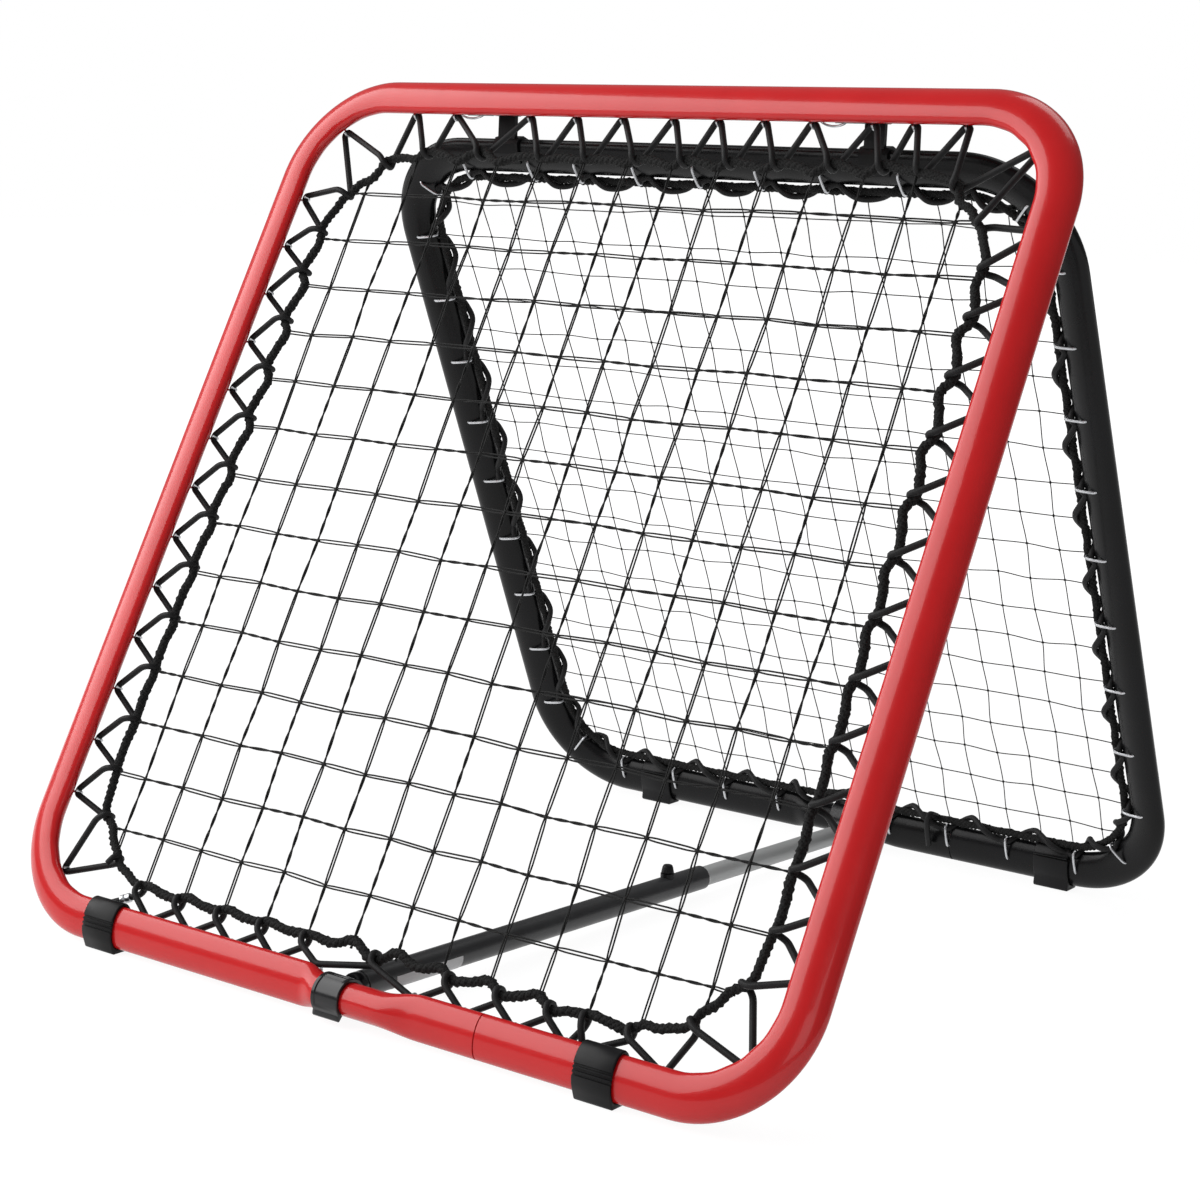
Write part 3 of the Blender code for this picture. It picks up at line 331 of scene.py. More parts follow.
def rounded(points, radius, steps):
    """The open path with each corner turned in a curve."""
    found = [points[0]]
    for before, here, after in zip(points, points[1:], points[2:]):
        back, on = before - here, after - here
        reach = min(radius, back.length * 0.48, on.length * 0.48)
        start, end = here + back.normalized() * reach, here + on.normalized() * reach
        for step in range(steps + 1):
            t = step / steps
            found.append(start * (1 - t) ** 2 + here * (2 * t * (1 - t)) + end * t * t)
    return [*found, points[-1]]


def smooth(points, steps, closed=False):
    """A Catmull-Rom curve through the points."""
    count = len(points)
    found = []
    for i in range(count if closed else count - 1):
        if closed:
            a, b, c, d = (points[(i + k) % count] for k in (-1, 0, 1, 2))
        else:
            b, c = points[i], points[i + 1]
            a = points[i - 1] if i else b * 2 - c
            d = points[i + 2] if i + 2 < count else c * 2 - b
        for step in range(steps):
            t = step / steps
            found.append((b * 2 + (c - a) * t + (a * 2 - b * 5 + c * 4 - d) * t ** 2
                          + (b * 3 - a - c * 3 + d) * t ** 3) * 0.5)
    if not closed:
        found.append(points[-1])
    return found


class RoundedRectangle:
    """Sides 0 to 3 are bottom, right, top and left, walked anticlockwise as seen from -Y."""

    def __init__(self, half_width, top, bottom, corner):
        self.half_width, self.half_height, self.corner = half_width, (top - bottom) / 2, corner
        self.middle = Vector((0, 0, (top + bottom) / 2))

    def outward(self, side):
        return Vector((sin(side * pi / 2), 0, -cos(side * pi / 2)))

    def forward(self, side):
        return Vector((cos(side * pi / 2), 0, sin(side * pi / 2)))

    def reach(self, side):
        return self.half_height if side % 2 == 0 else self.half_width

    def half_run(self, side):
        return self.half_width if side % 2 == 0 else self.half_height

    def on_side(self, side, distance):
        out = self.outward(side)
        return self.middle + out * self.reach(side) + self.forward(side) * distance, out

    def on_corner(self, side, angle):
        out, ahead = self.outward(side), self.forward(side)
        inward = out * (self.reach(side) - self.corner)
        centre = self.middle + inward + ahead * (self.half_run(side) - self.corner)
        direction = out * cos(angle) + ahead * sin(angle)
        return centre + direction * self.corner, direction

    def nearest(self, point):
        inner_x, inner_z = self.half_width - self.corner, self.half_height - self.corner
        offset = point - self.middle
        core = Vector((max(-inner_x, min(inner_x, offset.x)), 0, max(-inner_z, min(inner_z, offset.z))))
        direction = Vector((offset.x, 0, offset.z)) - core
        direction.normalize()
        return self.middle + core + direction * self.corner, direction

    def walk(self, step, corner_steps):
        """(point, outward) all the way round, from the middle of the bottom."""
        found = []
        for side in range(4):
            half = self.half_run(side) - self.corner
            count = max(2, round(2 * half / step))
            found += [self.on_side(side, -half + 2 * half * i / count) for i in range(count)]
            found += [self.on_corner(side, i * pi / 2 / corner_steps) for i in range(corner_steps)]
        return found


# Frame tubes

def oval_axes(outward, face):
    normal = Y_AXIS * face
    return outward * cos(CANT) - normal * sin(CANT), outward * sin(CANT) + normal * cos(CANT)


def eased(t):
    """0 to 1 along an S-shaped slope."""
    t = max(0.0, min(1.0, t))
    return t * t * (3 - 2 * t)


def tube_stations(line):
    """(point, outward, how round, how far into a bend) from the seam round to the seam."""
    half = line.half_width - line.corner
    straight = half - SEAM_X
    found = [(*line.on_side(0, SEAM_X + SEAM_GAP / 2 + straight * i / 4), 0.0, 0.0) for i in range(4)]
    bend = 28
    for side in range(4):
        found += [(*line.on_corner(side, pi / 2 * i / bend), 0.0, i / bend) for i in range(bend + 1)]
        if side < 3:
            run = line.half_run(side + 1) - line.corner
            found += [(*line.on_side(side + 1, run * f), 0.0, 0.0) for f in (-0.7, -0.35, 0, 0.35, 0.7)]
    found += [(*line.on_side(0, -half * f), 0.0, 0.0) for f in (0.8, 0.5)]
    for i in range(49):
        distance = NECK_LEFT[0] + (NECK_RIGHT[0] - NECK_LEFT[0]) * i / 48
        left = eased((distance - NECK_LEFT[0]) / NECK_LEFT[1])
        right = eased((NECK_RIGHT[0] - distance) / NECK_RIGHT[1])
        found.append((*line.on_side(0, distance), min(left, right), 0.0))
    found.append((*line.on_side(0, SEAM_X - SEAM_GAP / 2), 0.0, 0.0))
    return found


def frame_tube(name, line, face, place, finish, body):
    """The bent tube: oval, round at the neck, with faint ripples inside its bends."""
    rings, middles = [], []
    sides = 44
    for point, out, roundness, bend in tube_stations(line):
        wide = OVAL_WIDE + (NECK_RADIUS - OVAL_WIDE) * roundness
        deep = OVAL_DEEP + (NECK_RADIUS - OVAL_DEEP) * roundness
        long_axis, short_axis = oval_axes(out, face)
        drop = out * (NECK_DROP * roundness if face < 0 else 0.0)
        made = ring(point + drop, long_axis, short_axis, wide, deep, sides)
        ripple = BEND_RIPPLE * sin(pi * bend) * sin(9 * pi * bend)
        for k, spot in enumerate(made):
            inner = max(0.0, -cos(2 * pi * k / sides)) ** 2
            made[k] = spot + out * (ripple * inner)
        rings.append(made)
        middles.append(point)
    shape = Shape()
    shape.skin(rings, lengths(middles))
    shape.piece(name + "_tube_smooth", finish, body, place, name + "_frame_tube")


# Hooks and lacing

def hook_seat(point, outward, face):
    """The bungee's centre where it lies in a hook."""
    long_axis, short_axis = oval_axes(outward, face)
    lay = HOOK_LAY[face]
    skin = long_axis * (-OVAL_WIDE * cos(lay)) + short_axis * (-OVAL_DEEP * sin(lay))
    away = long_axis * (-cos(lay) / OVAL_WIDE) + short_axis * (-sin(lay) / OVAL_DEEP)
    return point + skin + away.normalized() * (BUNGEE + GAP)


def clear_of(distance, fittings):
    """The distance, or the nearest one that is clear of each (centre, half) in fittings."""
    for centre, half in fittings:
        if abs(distance - centre) < half:
            return centre + copysign(half, distance - centre)
    return distance


def hook_spots(line, runs, fittings):
    """Hooks in order round the frame.

    runs holds each side's distances in its own direction, and fittings what stands on a side,
    as (x, half).
    """
    spots = []
    for side in range(4):
        ahead = line.forward(side).x
        blocked = [(x * ahead, half) for x, half in fittings.get(side, ())]
        spots += [line.on_side(side, clear_of(distance, blocked)) for distance in runs[side]]
        spots.append(line.on_corner(side, pi / 4))
    return spots


def hooks(name, spots, face, place, body):
    """Wires that leave the back of the tube, pass behind the bungee and curl round it."""
    shape = Shape()
    for point, outward in spots:
        long_axis, short_axis = oval_axes(outward, face)
        seat = hook_seat(point, outward, face)
        behind_tube = point + outward.cross(Y_AXIS) * 0.0008
        root = behind_tube - short_axis * (OVAL_DEEP - 0.001) + long_axis * 0.0012
        rise = behind_tube - short_axis * (OVAL_DEEP + 0.0016) - long_axis * 0.002
        behind = seat - short_axis * (BUNGEE + WIRE + GAP)
        inside = seat - long_axis * (BUNGEE + WIRE + GAP) - short_axis * 0.0012
        tip = seat - long_axis * (BUNGEE + WIRE * 0.6) + short_axis * 0.0028
        path = smooth([root, rise, behind, inside, tip], 6)
        shape.cord(path, WIRE, 8)
    shape.piece(name + "_wire_hooks", ZINC, body, place)


def zigzag(rope, face, setback, spots):
    """Out from a hook, behind the rope, round it and over its face to the next hook."""
    points = []
    for (here, outward), (ahead, _) in zip(spots, spots[1:] + spots[:1]):
        seat = hook_seat(here, outward, face)
        if outward.z < -0.9 and abs(here.x - STRUT_FRONT_X) < STRUT_HOOK_NEAR:
            seat = seat + Vector(STRUT_HOOK_SHIFT)
        along = outward.cross(Y_AXIS) * SEAT_HALF
        points += [seat - along - outward * SEAT_SINK, seat + along - outward * SEAT_SINK]
        centre, out = rope.nearest(here.lerp(ahead, 0.5))
        centre = centre - Y_AXIS * (face * setback) + out * (TURN_PULL - TURN_BITE)
        course = out.cross(Y_AXIS) * TURN_HALF
        over = Y_AXIS * (-face * TURN_REACH)
        inner = out * (TURN_REACH * 0.95)
        points += [centre + over - course + out * TURN_LIFT, centre + over * 0.75 - inner,
                   centre - over * 0.75 - inner, centre - over + course + out * TURN_LIFT]
    return points


def winding(rope, face, setback, spots):
    """Once round the rope on the way from each hook to the next."""
    points = []
    for (here, outward), (ahead, _) in zip(spots, spots[1:] + spots[:1]):
        points.append(hook_seat(here, outward, face))
        for eighth in range(1, 8):
            centre, out = rope.nearest(here.lerp(ahead, eighth / 8))
            angle = radians(WIND_START + 45 * (eighth - 1))
            round_rope = out * cos(angle) + Y_AXIS * (face * sin(angle))
            size = WIND_SIZE + WIND_WAVE * (eighth % 2)
            points.append(centre - Y_AXIS * (face * setback) + round_rope * size)
    return points


def drawn(point, spots, most, spread_over):
    """How far the pulls at the spots move a point, up to most."""
    near = [spot for spot in spots if (point - spot).length < SPREAD_END]
    return min(sum(most * exp(-((point - spot).length / spread_over) ** 2) for spot in near), most)


def rope_path(rope, face, setback, turns, ends, out_pull, in_pull, rise=0.0):
    """The rope drawn out by each turn of bungee, in by each end of twine and up over a strut clip."""
    found = []
    for point, out in rope.walk(ROPE_STEP, ROPE_CORNER_STEPS):
        moved = drawn(point, turns, out_pull, TURN_SPREAD) - drawn(point, ends, in_pull, TWINE_SPREAD)
        if point.z < rope.middle.z:
            moved -= rise * exp(-((point.x - STRUT_REAR_X) / CLIP_SPREAD) ** 4)
        found.append(point + out * moved - Y_AXIS * (face * setback))
    return found


def laid_rope(name, points, size, pitch, place, body):
    """Three plump strands round a path, with the lumps of a knitted cord."""
    axes = transported(points, True)
    along = lengths(points)
    turns = round(along[-1] / pitch)
    shape = Shape()
    for strand in range(3):
        path, sizes = [], []
        for i, (point, (side, up)) in enumerate(zip(points, axes)):
            angle = 2 * pi * (strand / 3 + turns * along[i] / (along[-1] + ROPE_STEP))
            drift = 1 + 0.14 * sin(along[i] * 410 + strand * 2) * sin(along[i] * 137)
            offset = size * STRAND_OFFSET * drift
            path.append(point + (side * cos(angle) + up * sin(angle)) * offset)
            sizes.append(size * (STRAND_SIZE + 0.09 * sin(along[i] * 1310 + strand * 2.1)))
        shape.cord(path, sizes, 8, True)
    shape.piece(name + "_rope_laid", ROPE, body, place, name + "_border_rope", 60)


def crossings(middle, count, pitch):
    """Where evenly spread twines lie across."""
    return [middle + (i - (count - 1) / 2) * pitch for i in range(count)]


def twine_end(rope, level, direction, across):
    """The rope's point that a twine reaches; across is the axis that level is measured on."""
    far = rope.middle + across * (level - rope.middle.dot(across))
    reach = rope.half_run(0) if abs(direction.x) > 0.5 else rope.reach(0)
    inner = (rope.half_height if abs(across.z) > 0.5 else rope.half_width) - rope.corner
    beyond = abs(level - rope.middle.dot(across)) - inner
    if beyond > 0:
        reach -= rope.corner - max(rope.corner ** 2 - beyond ** 2, 0.0) ** 0.5
    return far + direction * reach


class Net:
    """Square meshes of twine between the rope's sides."""

    def __init__(self, rope, count, pitch, setback, face, jitter):
        self.rope, self.depth = rope, -face * setback
        self.xs = crossings(0, count, pitch[0])
        self.zs = crossings(rope.middle.z, count, pitch[1])
        self.spots = {}
        for i, x in enumerate(self.xs):
            for j, z in enumerate(self.zs):
                shift = Vector((chance.uniform(-jitter, jitter), 0, chance.uniform(-jitter, jitter)))
                self.spots[i, j] = Vector((x, 0, z)) + shift

    def inside(self, point):
        offset = point - self.rope.middle
        inner_x = self.rope.half_width - self.rope.corner
        inner_z = self.rope.half_height - self.rope.corner
        extra = Vector((max(abs(offset.x) - inner_x, 0), 0, max(abs(offset.z) - inner_z, 0)))
        return extra.length < self.rope.corner - NET_MARGIN

    def ends_of(self, level, along, across):
        return [twine_end(self.rope, level, along * s, across) for s in (-1, 1)]

    def ends(self):
        found = []
        for x in self.xs:
            found += self.ends_of(x, Z_AXIS, X_AXIS)
        for z in self.zs:
            found += self.ends_of(z, X_AXIS, Z_AXIS)
        return found

    def lines(self):
        """Each twine's points, from rope to rope."""
        found = []
        for i, x in enumerate(self.xs):
            met = [self.spots[i, j] for j in range(len(self.zs))]
            first, last = self.ends_of(x, Z_AXIS, X_AXIS)
            found.append([first, *filter(self.inside, met), last])
        for j, z in enumerate(self.zs):
            met = [self.spots[i, j] for i in range(len(self.xs))]
            first, last = self.ends_of(z, X_AXIS, Z_AXIS)
            found.append([first, *filter(self.inside, met), last])
        return found

    def lift(self, point):
        return Vector((point.x, self.depth, point.z))

    def build(self, name, twine, pairs, knot, place, body):
        """Single twines, or pairs that lie open or twisted between knots."""
        shape = Shape()
        for line in self.lines():
            flat = [self.lift(p) for p in line]
            run = (flat[-1] - flat[0]).normalized()
            across = run.cross(Y_AXIS)
            if not pairs:
                shape.cord(smooth(flat, 5), twine, 6)
                continue
            strands = ([], [])
            for start, end in zip(flat, flat[1:]):
                opening = chance.choice(TWINE_OPENINGS)
                turn = 0.0 if opening > 0.0009 else pi * chance.choice((2, 3))
                steps = 10
                for step in range(steps):
                    t = step / steps
                    wide = TWINE_CLOSE + (opening - TWINE_CLOSE) * min(1.0, sin(pi * t) * 2.2)
                    angle = turn * t
                    offset = across * (wide * cos(angle)) + Y_AXIS * (wide * sin(angle))
                    middle = start.lerp(end, t)
                    strands[0].append(middle + offset)
                    strands[1].append(middle - offset)
                if turn and round(turn / pi) % 2:
                    strands = (strands[1], strands[0])
            for strand, side in zip(strands, (1, -1)):
                strand.append(flat[-1] + across * (TWINE_END * side))
                shape.cord(strand, twine, 6)
        for point in self.spots.values():
            if self.inside(point):
                tall = chance.choice((X_AXIS, Z_AXIS)) * knot
                path = [self.lift(point) + tall * f for f in (-1.5, -1.0, -0.4, 0.4, 1.0, 1.5)]
                shape.cord(path, [knot * f for f in (0.35, 0.8, 1.0, 1.0, 0.8, 0.35)], 8)
        shape.piece(name + "_net_twine", TWINE, body, place, name + "_net", 60)


# Feet

def outline_ring(outline, x, inset):
    """The outline at x, drawn in along its own corners by inset."""
    made = []
    count = len(outline)
    area = sum(outline[i - 1][0] * outline[i][1] - outline[i][0] * outline[i - 1][1] for i in range(count))
    for i, (y, z) in enumerate(outline):
        before, after = outline[i - 1], outline[(i + 1) % count]
        tangent = Vector((after[0] - before[0], after[1] - before[1]))
        tangent.normalize()
        normal = Vector((-tangent.y, tangent.x)) * copysign(inset, area)
        made.append(Vector((x, y + normal.x, z + normal.y)))
    return made


def foot(name, x, face, lean, height, place, body, node):
    """A clip round the tube with a flat sole, grooves and a hooked lip."""
    level = Matrix.Rotation(lean, 3, "X")
    wall = 0.0026
    down = -Z_AXIS

    def placed(degrees_round, offset):
        long_axis, short_axis = oval_axes(down, face)
        angle = radians(degrees_round)
        wide = (OVAL_WIDE + offset) * cos(angle)
        spot = level @ (long_axis * wide + short_axis * ((OVAL_DEEP + offset) * sin(angle)))
        return spot.y, spot.z

    band = [placed(a, GAP + wall) for a in (-118, -112, -106, -99, -90, -80, -70, -60)]
    pad, floor = 0.0090, -BAR_RISE
    edge = [(pad, 0.0022), (pad - 0.0005, 0.0008), (pad - 0.0016, 0.0)]
    sole = [(-face * y, floor + z) for y, z in edge] + [(face * y, floor + z) for y, z in reversed(edge)]
    front = [placed(a, GAP + wall) for a in (42, 50, 58, 66, 72)]
    for groove in (80, 90, 100):
        for turn, depth in ((-3, 0.0), (-1.6, 0.0010), (1.6, 0.0010), (3, 0.0)):
            front.append(placed(groove + turn, GAP + wall - depth))
    top = [placed(a, GAP + wall) for a in range(108, 232, 6)]
    lip = [placed(234, GAP + wall + 0.0007), placed(237, GAP + wall + 0.0020),
           placed(238.4, GAP + wall + 0.0016)]
    inner = [placed(238, GAP)] + [placed(a, GAP) for a in range(232, -116, -8)] + [placed(-118, GAP)]
    outline = band + sole + front + top + lip + inner
    half = 0.0165
    stations = ((-half, 0.0008), (-half + 0.0003, 0.0003), (-half + 0.0009, 0.0), (half - 0.0009, 0.0),
                (half - 0.0003, 0.0003), (half, 0.0008))
    shape = Shape()
    shape.skin([outline_ring(outline, at, inset) for at, inset in stations], [at for at, _ in stations])
    where = place @ Matrix.Translation((x, 0, -height)) @ Matrix.Rotation(-lean, 4, "X")
    shape.piece(name, PLASTIC, body, where, node, 35)


# Strut

NECK = Vector((STRUT_FRONT_X, FRONT_BAR_Y, BAR_RISE))
STRUT_START = NECK + Vector((0, 0, 0.0020))
STRUT_END = Vector((STRUT_REAR_X, REAR_BAR_Y, BAR_RISE - 0.0095))
ALONG = (STRUT_END - STRUT_START).normalized()
SPAN = (STRUT_END - STRUT_START).length
OUTER_START, OUTER_LENGTH, INNER_END_GAP = 0.0230, 0.4120, 0.0290
OUTER_END = OUTER_START + OUTER_LENGTH
OUTER_RADIUS, INNER_RADIUS = 0.0102, 0.0084
OUTER_WALL, INNER_WALL = 0.0014, 0.0012
INNER_START, INNER_END = OUTER_END - 0.170, SPAN - INNER_END_GAP
KNOB_FROM_END = 0.047
LABEL_START, LABEL_LENGTH, LABEL_EDGE, FILM = 0.028, 0.0720, 0.0004, 0.00010
RING_EYE = (-0.0219, 0.0354, 0.0127)
RING_RADIUS, RING_WIRE, RING_DRIFT, RING_SWING = 0.0145, 0.00062, 0.00171, radians(30)
SIDE = ALONG.cross(Z_AXIS).normalized()
UP = SIDE.cross(ALONG)


def tube_piece(name, start, end, radius, wall, finish, body, node):
    """An open tube with rounded rims."""
    edge = 0.0003
    bore = radius - wall
    profile = [(start + edge, bore), (start, bore + edge), (start, radius - edge), (start + edge, radius),
               (end - edge, radius), (end, radius - edge), (end, bore + edge), (end - edge, bore)]
    shape = Shape()
    rings = [ring(STRUT_START + ALONG * d, SIDE, UP, r, r, 56) for d, r in profile]
    shape.skin(rings, [d for d, _ in profile], closed=True)
    shape.piece(name, finish, body, node=node)


def strut_clip(name, centre, bore, axis_point, along, reach, flange, body, node):
    """A band round the neck with raised rims, ribs on top and a hooked lip, run into the tube's end."""
    toward = 1 if along.y > 0 else -1
    start, end = -64, 228
    steps = [start + (end - start) * i / 72 for i in range(73)]

    def around(degrees_round, radius, x):
        angle = radians(degrees_round)
        return centre + Vector((x, toward * radius * cos(angle), radius * sin(angle)))

    def outer(degrees_round, rim):
        size = bore + 0.0026
        sunk = 0.0009 * eased((degrees_round - 60) / 12) * eased((205 - degrees_round) / 12)
        size -= sunk * (1 - rim)
        rib = max(0.0, sin((degrees_round - 82) / 9 * 2 * pi)) if 82 < degrees_round < 118 else 0.0
        size += 0.0008 * rib * (1 - rim)
        return size + 0.0030 * eased((degrees_round - 214) / 11)

    half = 0.013
    quarter = ((half, 0.7, 1), (half - 0.0006, 0.0, 1), (half - 0.0030, 0.0, 1), (half - 0.0038, 0.0, 0))
    stations = [(-x, inset, rim) for x, inset, rim in quarter] + list(reversed(quarter))
    rings = []
    for x, inset, rim in stations:
        made = [around(a, outer(a, rim) - inset * 0.0008, x) for a in steps]
        made += [around(a, bore + inset * 0.0003, x) for a in reversed(steps)]
        rings.append(made)
    shape = Shape()
    shape.skin(rings, [s[0] for s in stations])
    side = along.cross(Z_AXIS).normalized()
    up = side.cross(along)
    root = centre + Y_AXIS * (toward * (bore + 0.0006))
    root_wide, root_deep = 0.0100, 0.0064
    far = axis_point + along * (reach - 0.0090)
    block = []
    for i in range(9):
        t = i / 8
        middle = root.lerp(far, t)
        wide = root_wide + (flange * 0.94 - root_wide) * eased(t)
        deep = root_deep + (flange * 0.94 - root_deep) * eased(t)
        made = []
        for k in range(40):
            a = 2 * pi * k / 40
            power = 0.45 + 0.55 * eased(t)
            across, rise = (copysign(abs(v) ** power, v) for v in (cos(a), sin(a)))
            made.append(middle + side * (across * wide) + up * (rise * deep))
        block.append(made)
    shape.skin(block, [0.002 * i for i in range(9)])
    face = 0.0087
    inside = flange - 0.0016
    profile = [(-0.0006, flange * 0.94), (0.0004, flange - 0.0004), (0.0012, flange),
               (face - 0.0012, flange), (face - 0.0004, flange - 0.0004), (face, flange - 0.0009),
               (face, inside), (face + 0.022, inside)]
    shape.turned(far, along, profile)
    return shape.piece(name, GLOSSY, body, None, node, 34)


def clamp_knob():
    """A round knob with a gripped edge, on a screw into the outer tube."""
    point = STRUT_START + ALONG * (OUTER_END - KNOB_FROM_END)
    base = OUTER_RADIUS + 0.0028 + 0.0004
    profile = [(INNER_RADIUS + GAP, 0.0024), (base, 0.0024), (base, 0.0046), (base + 0.0006, 0.0054),
               (base + 0.0048, 0.0046), (base + 0.0062, 0.0040), (base + 0.0068, 0.0033),
               (base + 0.0070, 0.0024)]
    rings = []
    for distance, size in profile:
        made = []
        for k in range(60):
            a = 2 * pi * k / 60
            grip = 1 + (0.035 * cos(12 * a) if size > 0.0045 else 0.0)
            made.append(point + UP * distance + (SIDE * cos(a) + ALONG * sin(a)) * (size * min(grip, 1.0)))
        rings.append(made)
    shape = Shape()
    shape.skin(rings, [d for d, _ in profile])
    shape.piece("clamp_knob_gripped", PLASTIC, "clamp_knob", node="strut_clamp_knob")


def strut_label():
    """A bare film patch low on the outer tube, near its front end."""
    shape = Shape()
    size = OUTER_RADIUS + 0.00012
    angles = [radians(-78 + 88 * i / 16) for i in range(17)]
    rings = []
    distances = (0.0, LABEL_EDGE, LABEL_LENGTH - LABEL_EDGE, LABEL_LENGTH)
    for distance, lift in zip(distances, (0.0, FILM, FILM, 0.0)):
        top = [(size + lift, a) for a in angles]
        low = [(size - 0.0003, a) for a in reversed(angles)]
        centre = STRUT_START + ALONG * (OUTER_START + LABEL_START + distance)
        rings.append([centre + (SIDE * cos(a) + UP * sin(a)) * r for r, a in top + low])
    shape.skin(rings, distances)
    shape.piece("strut_label_film", LABEL, "strut_outer")


# Hinge rings

def split_ring(name, x, body, node):
    """Two close turns of wire through the pin's eye."""
    eye = Vector((x + RING_EYE[0], *RING_EYE[1:]))
    swing = Matrix.Rotation(RING_SWING, 3, "Z")
    points = []
    for i in range(97):
        angle = 2 * pi * i / 48
        drift = RING_DRIFT * (eased(i / 96) * 2 - 1)
        turned = Vector((RING_RADIUS * cos(angle) - RING_RADIUS, drift, RING_RADIUS * sin(angle)))
        points.append(eye + swing @ turned)
    shape = Shape()
    shape.cord(points, RING_WIRE, 8)
    shape.piece(name, BRIGHT, body, FRONT, node)


# Putting it together

front_line = RoundedRectangle(FRONT_WIDTH / 2, 0.0, -FRONT_HEIGHT, CORNER)
rear_line = RoundedRectangle(REAR_WIDTH / 2, 0.0, -REAR_HEIGHT, CORNER)
front_rope = RoundedRectangle(FRONT_WIDTH / 2 - FRONT_ROPE_SIDE, -FRONT_ROPE_TOP,
                              -FRONT_HEIGHT + FRONT_ROPE_BOTTOM, FRONT_ROPE_CORNER)
rear_rope = RoundedRectangle(REAR_WIDTH / 2 - REAR_ROPE_INSET, -REAR_ROPE_INSET,
                             -REAR_HEIGHT + REAR_ROPE_INSET, REAR_ROPE_CORNER)

frame_tube("front", front_line, -1, FRONT, RED, "front_frame")
frame_tube("rear", rear_line, 1, REAR, BLACK, "rear_frame")

bottom_front = [-0.270, -0.225, -0.180, -0.135, -0.090, -0.044, 0.050, 0.097, 0.143, 0.188, 0.225, 0.270]
side_front = [(i - 6) * 0.0455 for i in range(13)]
top_front = [-0.272, -0.228, -0.184, -0.139, -0.095, -0.052, -0.009, 0.041, 0.088, 0.136, 0.216, 0.260]
fittings_front = {0: [(x, FOOT_CLEAR) for x in FRONT_FEET] + [(STRUT_FRONT_X, FRONT_CLIP_CLEAR)],
                  2: [(x, BRACKET_CLEAR) for x in LINKS]}
front_spots = hook_spots(front_line, (bottom_front, side_front, top_front, side_front), fittings_front)
bar_rear = [(i - 4) * 0.0605 for i in range(9)]
side_rear = [(i - 4) * 0.0625 for i in range(9)]
fittings_rear = {0: [(x, FOOT_CLEAR) for x in REAR_FEET] + [(STRUT_REAR_X, REAR_CLIP_CLEAR)],
                 2: [(x, LINK_CLEAR) for x in LINKS]}
rear_spots = hook_spots(rear_line, (bar_rear, side_rear, bar_rear, side_rear), fittings_rear)
hooks("front", front_spots, -1, FRONT, "front_frame")
hooks("rear", rear_spots, 1, REAR, "rear_frame")

front_net = Net(front_rope, 14, FRONT_MESH, FRONT_SETBACK, -1, 0.0012)
rear_net = Net(rear_rope, 19, REAR_MESH, REAR_SETBACK, 1, 0.0016)

pairs = zip(front_spots, front_spots[1:] + front_spots[:1])
front_turns = [front_rope.nearest(a.lerp(b, 0.5))[0] for (a, _), (b, _) in pairs]
front_path = rope_path(front_rope, -1, FRONT_SETBACK, front_turns, front_net.ends(), TURN_PULL,
                       FRONT_TWINE_PULL)
rear_path = rope_path(rear_rope, 1, REAR_SETBACK, [], rear_net.ends(), 0.0, REAR_TWINE_PULL, CLIP_RISE)
laid_rope("front", front_path, FRONT_ROPE, FRONT_PITCH, FRONT, "front_frame")
laid_rope("rear", rear_path, REAR_ROPE, REAR_PITCH, REAR, "rear_frame")

front_course = zigzag(front_rope, -1, FRONT_SETBACK, front_spots)
shape = Shape()
shape.cord(rounded(front_course, BUNGEE_BEND, 4), BUNGEE, 10)
shape.piece("front_bungee_smooth", CORD, "front_frame", FRONT, "front_bungee", 60)
shape = Shape()
shape.cord(smooth(winding(rear_rope, 1, REAR_SETBACK, rear_spots), 5, True), BUNGEE, 10, True)
shape.cord(smooth([Vector(p) for p in REAR_TAIL], 6), BUNGEE, 10)
shape.piece("rear_bungee_smooth", CORD, "rear_frame", REAR, "rear_bungee", 60)

leg_start, leg_end = front_course[1], front_course[2]
leg = (leg_end - leg_start).normalized()
shape = Shape()
shape.turned(leg_start.lerp(leg_end, CRIMP_AT) - leg * CRIMP_HALF, leg, CRIMP, 24)
shape.piece("bungee_crimp_pressed", ZINC, "front_frame", FRONT, "front_bungee_crimp")

front_net.build("front", FRONT_TWINE, True, FRONT_KNOT, FRONT, "front_frame")
rear_net.build("rear", REAR_TWINE, False, REAR_KNOT, REAR, "rear_frame")

def feet(frame_name, spots, face, lean, height, place):
    for x, side in zip(spots, ("left", "right")):
        node = f"{frame_name}_{side}_foot"
        foot(node + "_moulded", x, face, lean, height, place, frame_name + "_frame", node)


feet("front", FRONT_FEET, -1, -FRONT_LEAN, FRONT_HEIGHT, FRONT)
feet("rear", REAR_FEET, 1, REAR_LEAN, REAR_HEIGHT, REAR)

tube_piece("strut_outer_smooth", OUTER_START, OUTER_END, OUTER_RADIUS, OUTER_WALL, DARK,
           "strut_outer", "strut_outer_tube")
tube_piece("strut_rim_bright", OUTER_END + 0.00002, OUTER_END + 0.0005, OUTER_RADIUS - 0.0002, 0.0012,
           BRIGHT, "strut_outer", None)
tube_piece("strut_inner_smooth", INNER_START, INNER_END, INNER_RADIUS, INNER_WALL, ALUMINIUM,
           "strut_inner", "strut_inner_tube")
front_eye = NECK - (FRONT.to_3x3() @ Z_AXIS) * NECK_DROP
strut_clip("front_strut_clip_ribbed", front_eye, NECK_RADIUS + GAP, STRUT_START, ALONG, OUTER_START,
           OUTER_RADIUS, "strut_outer", "front_strut_clip")
rear_eye = Vector((STRUT_REAR_X, REAR_BAR_Y - 0.0010, BAR_RISE + 0.0009))
strut_clip("rear_strut_clip_ribbed", rear_eye, NECK_RADIUS + GAP + 0.0018, STRUT_END, -ALONG,
           INNER_END_GAP, INNER_RADIUS, "strut_inner", "rear_strut_clip")
clamp_knob()
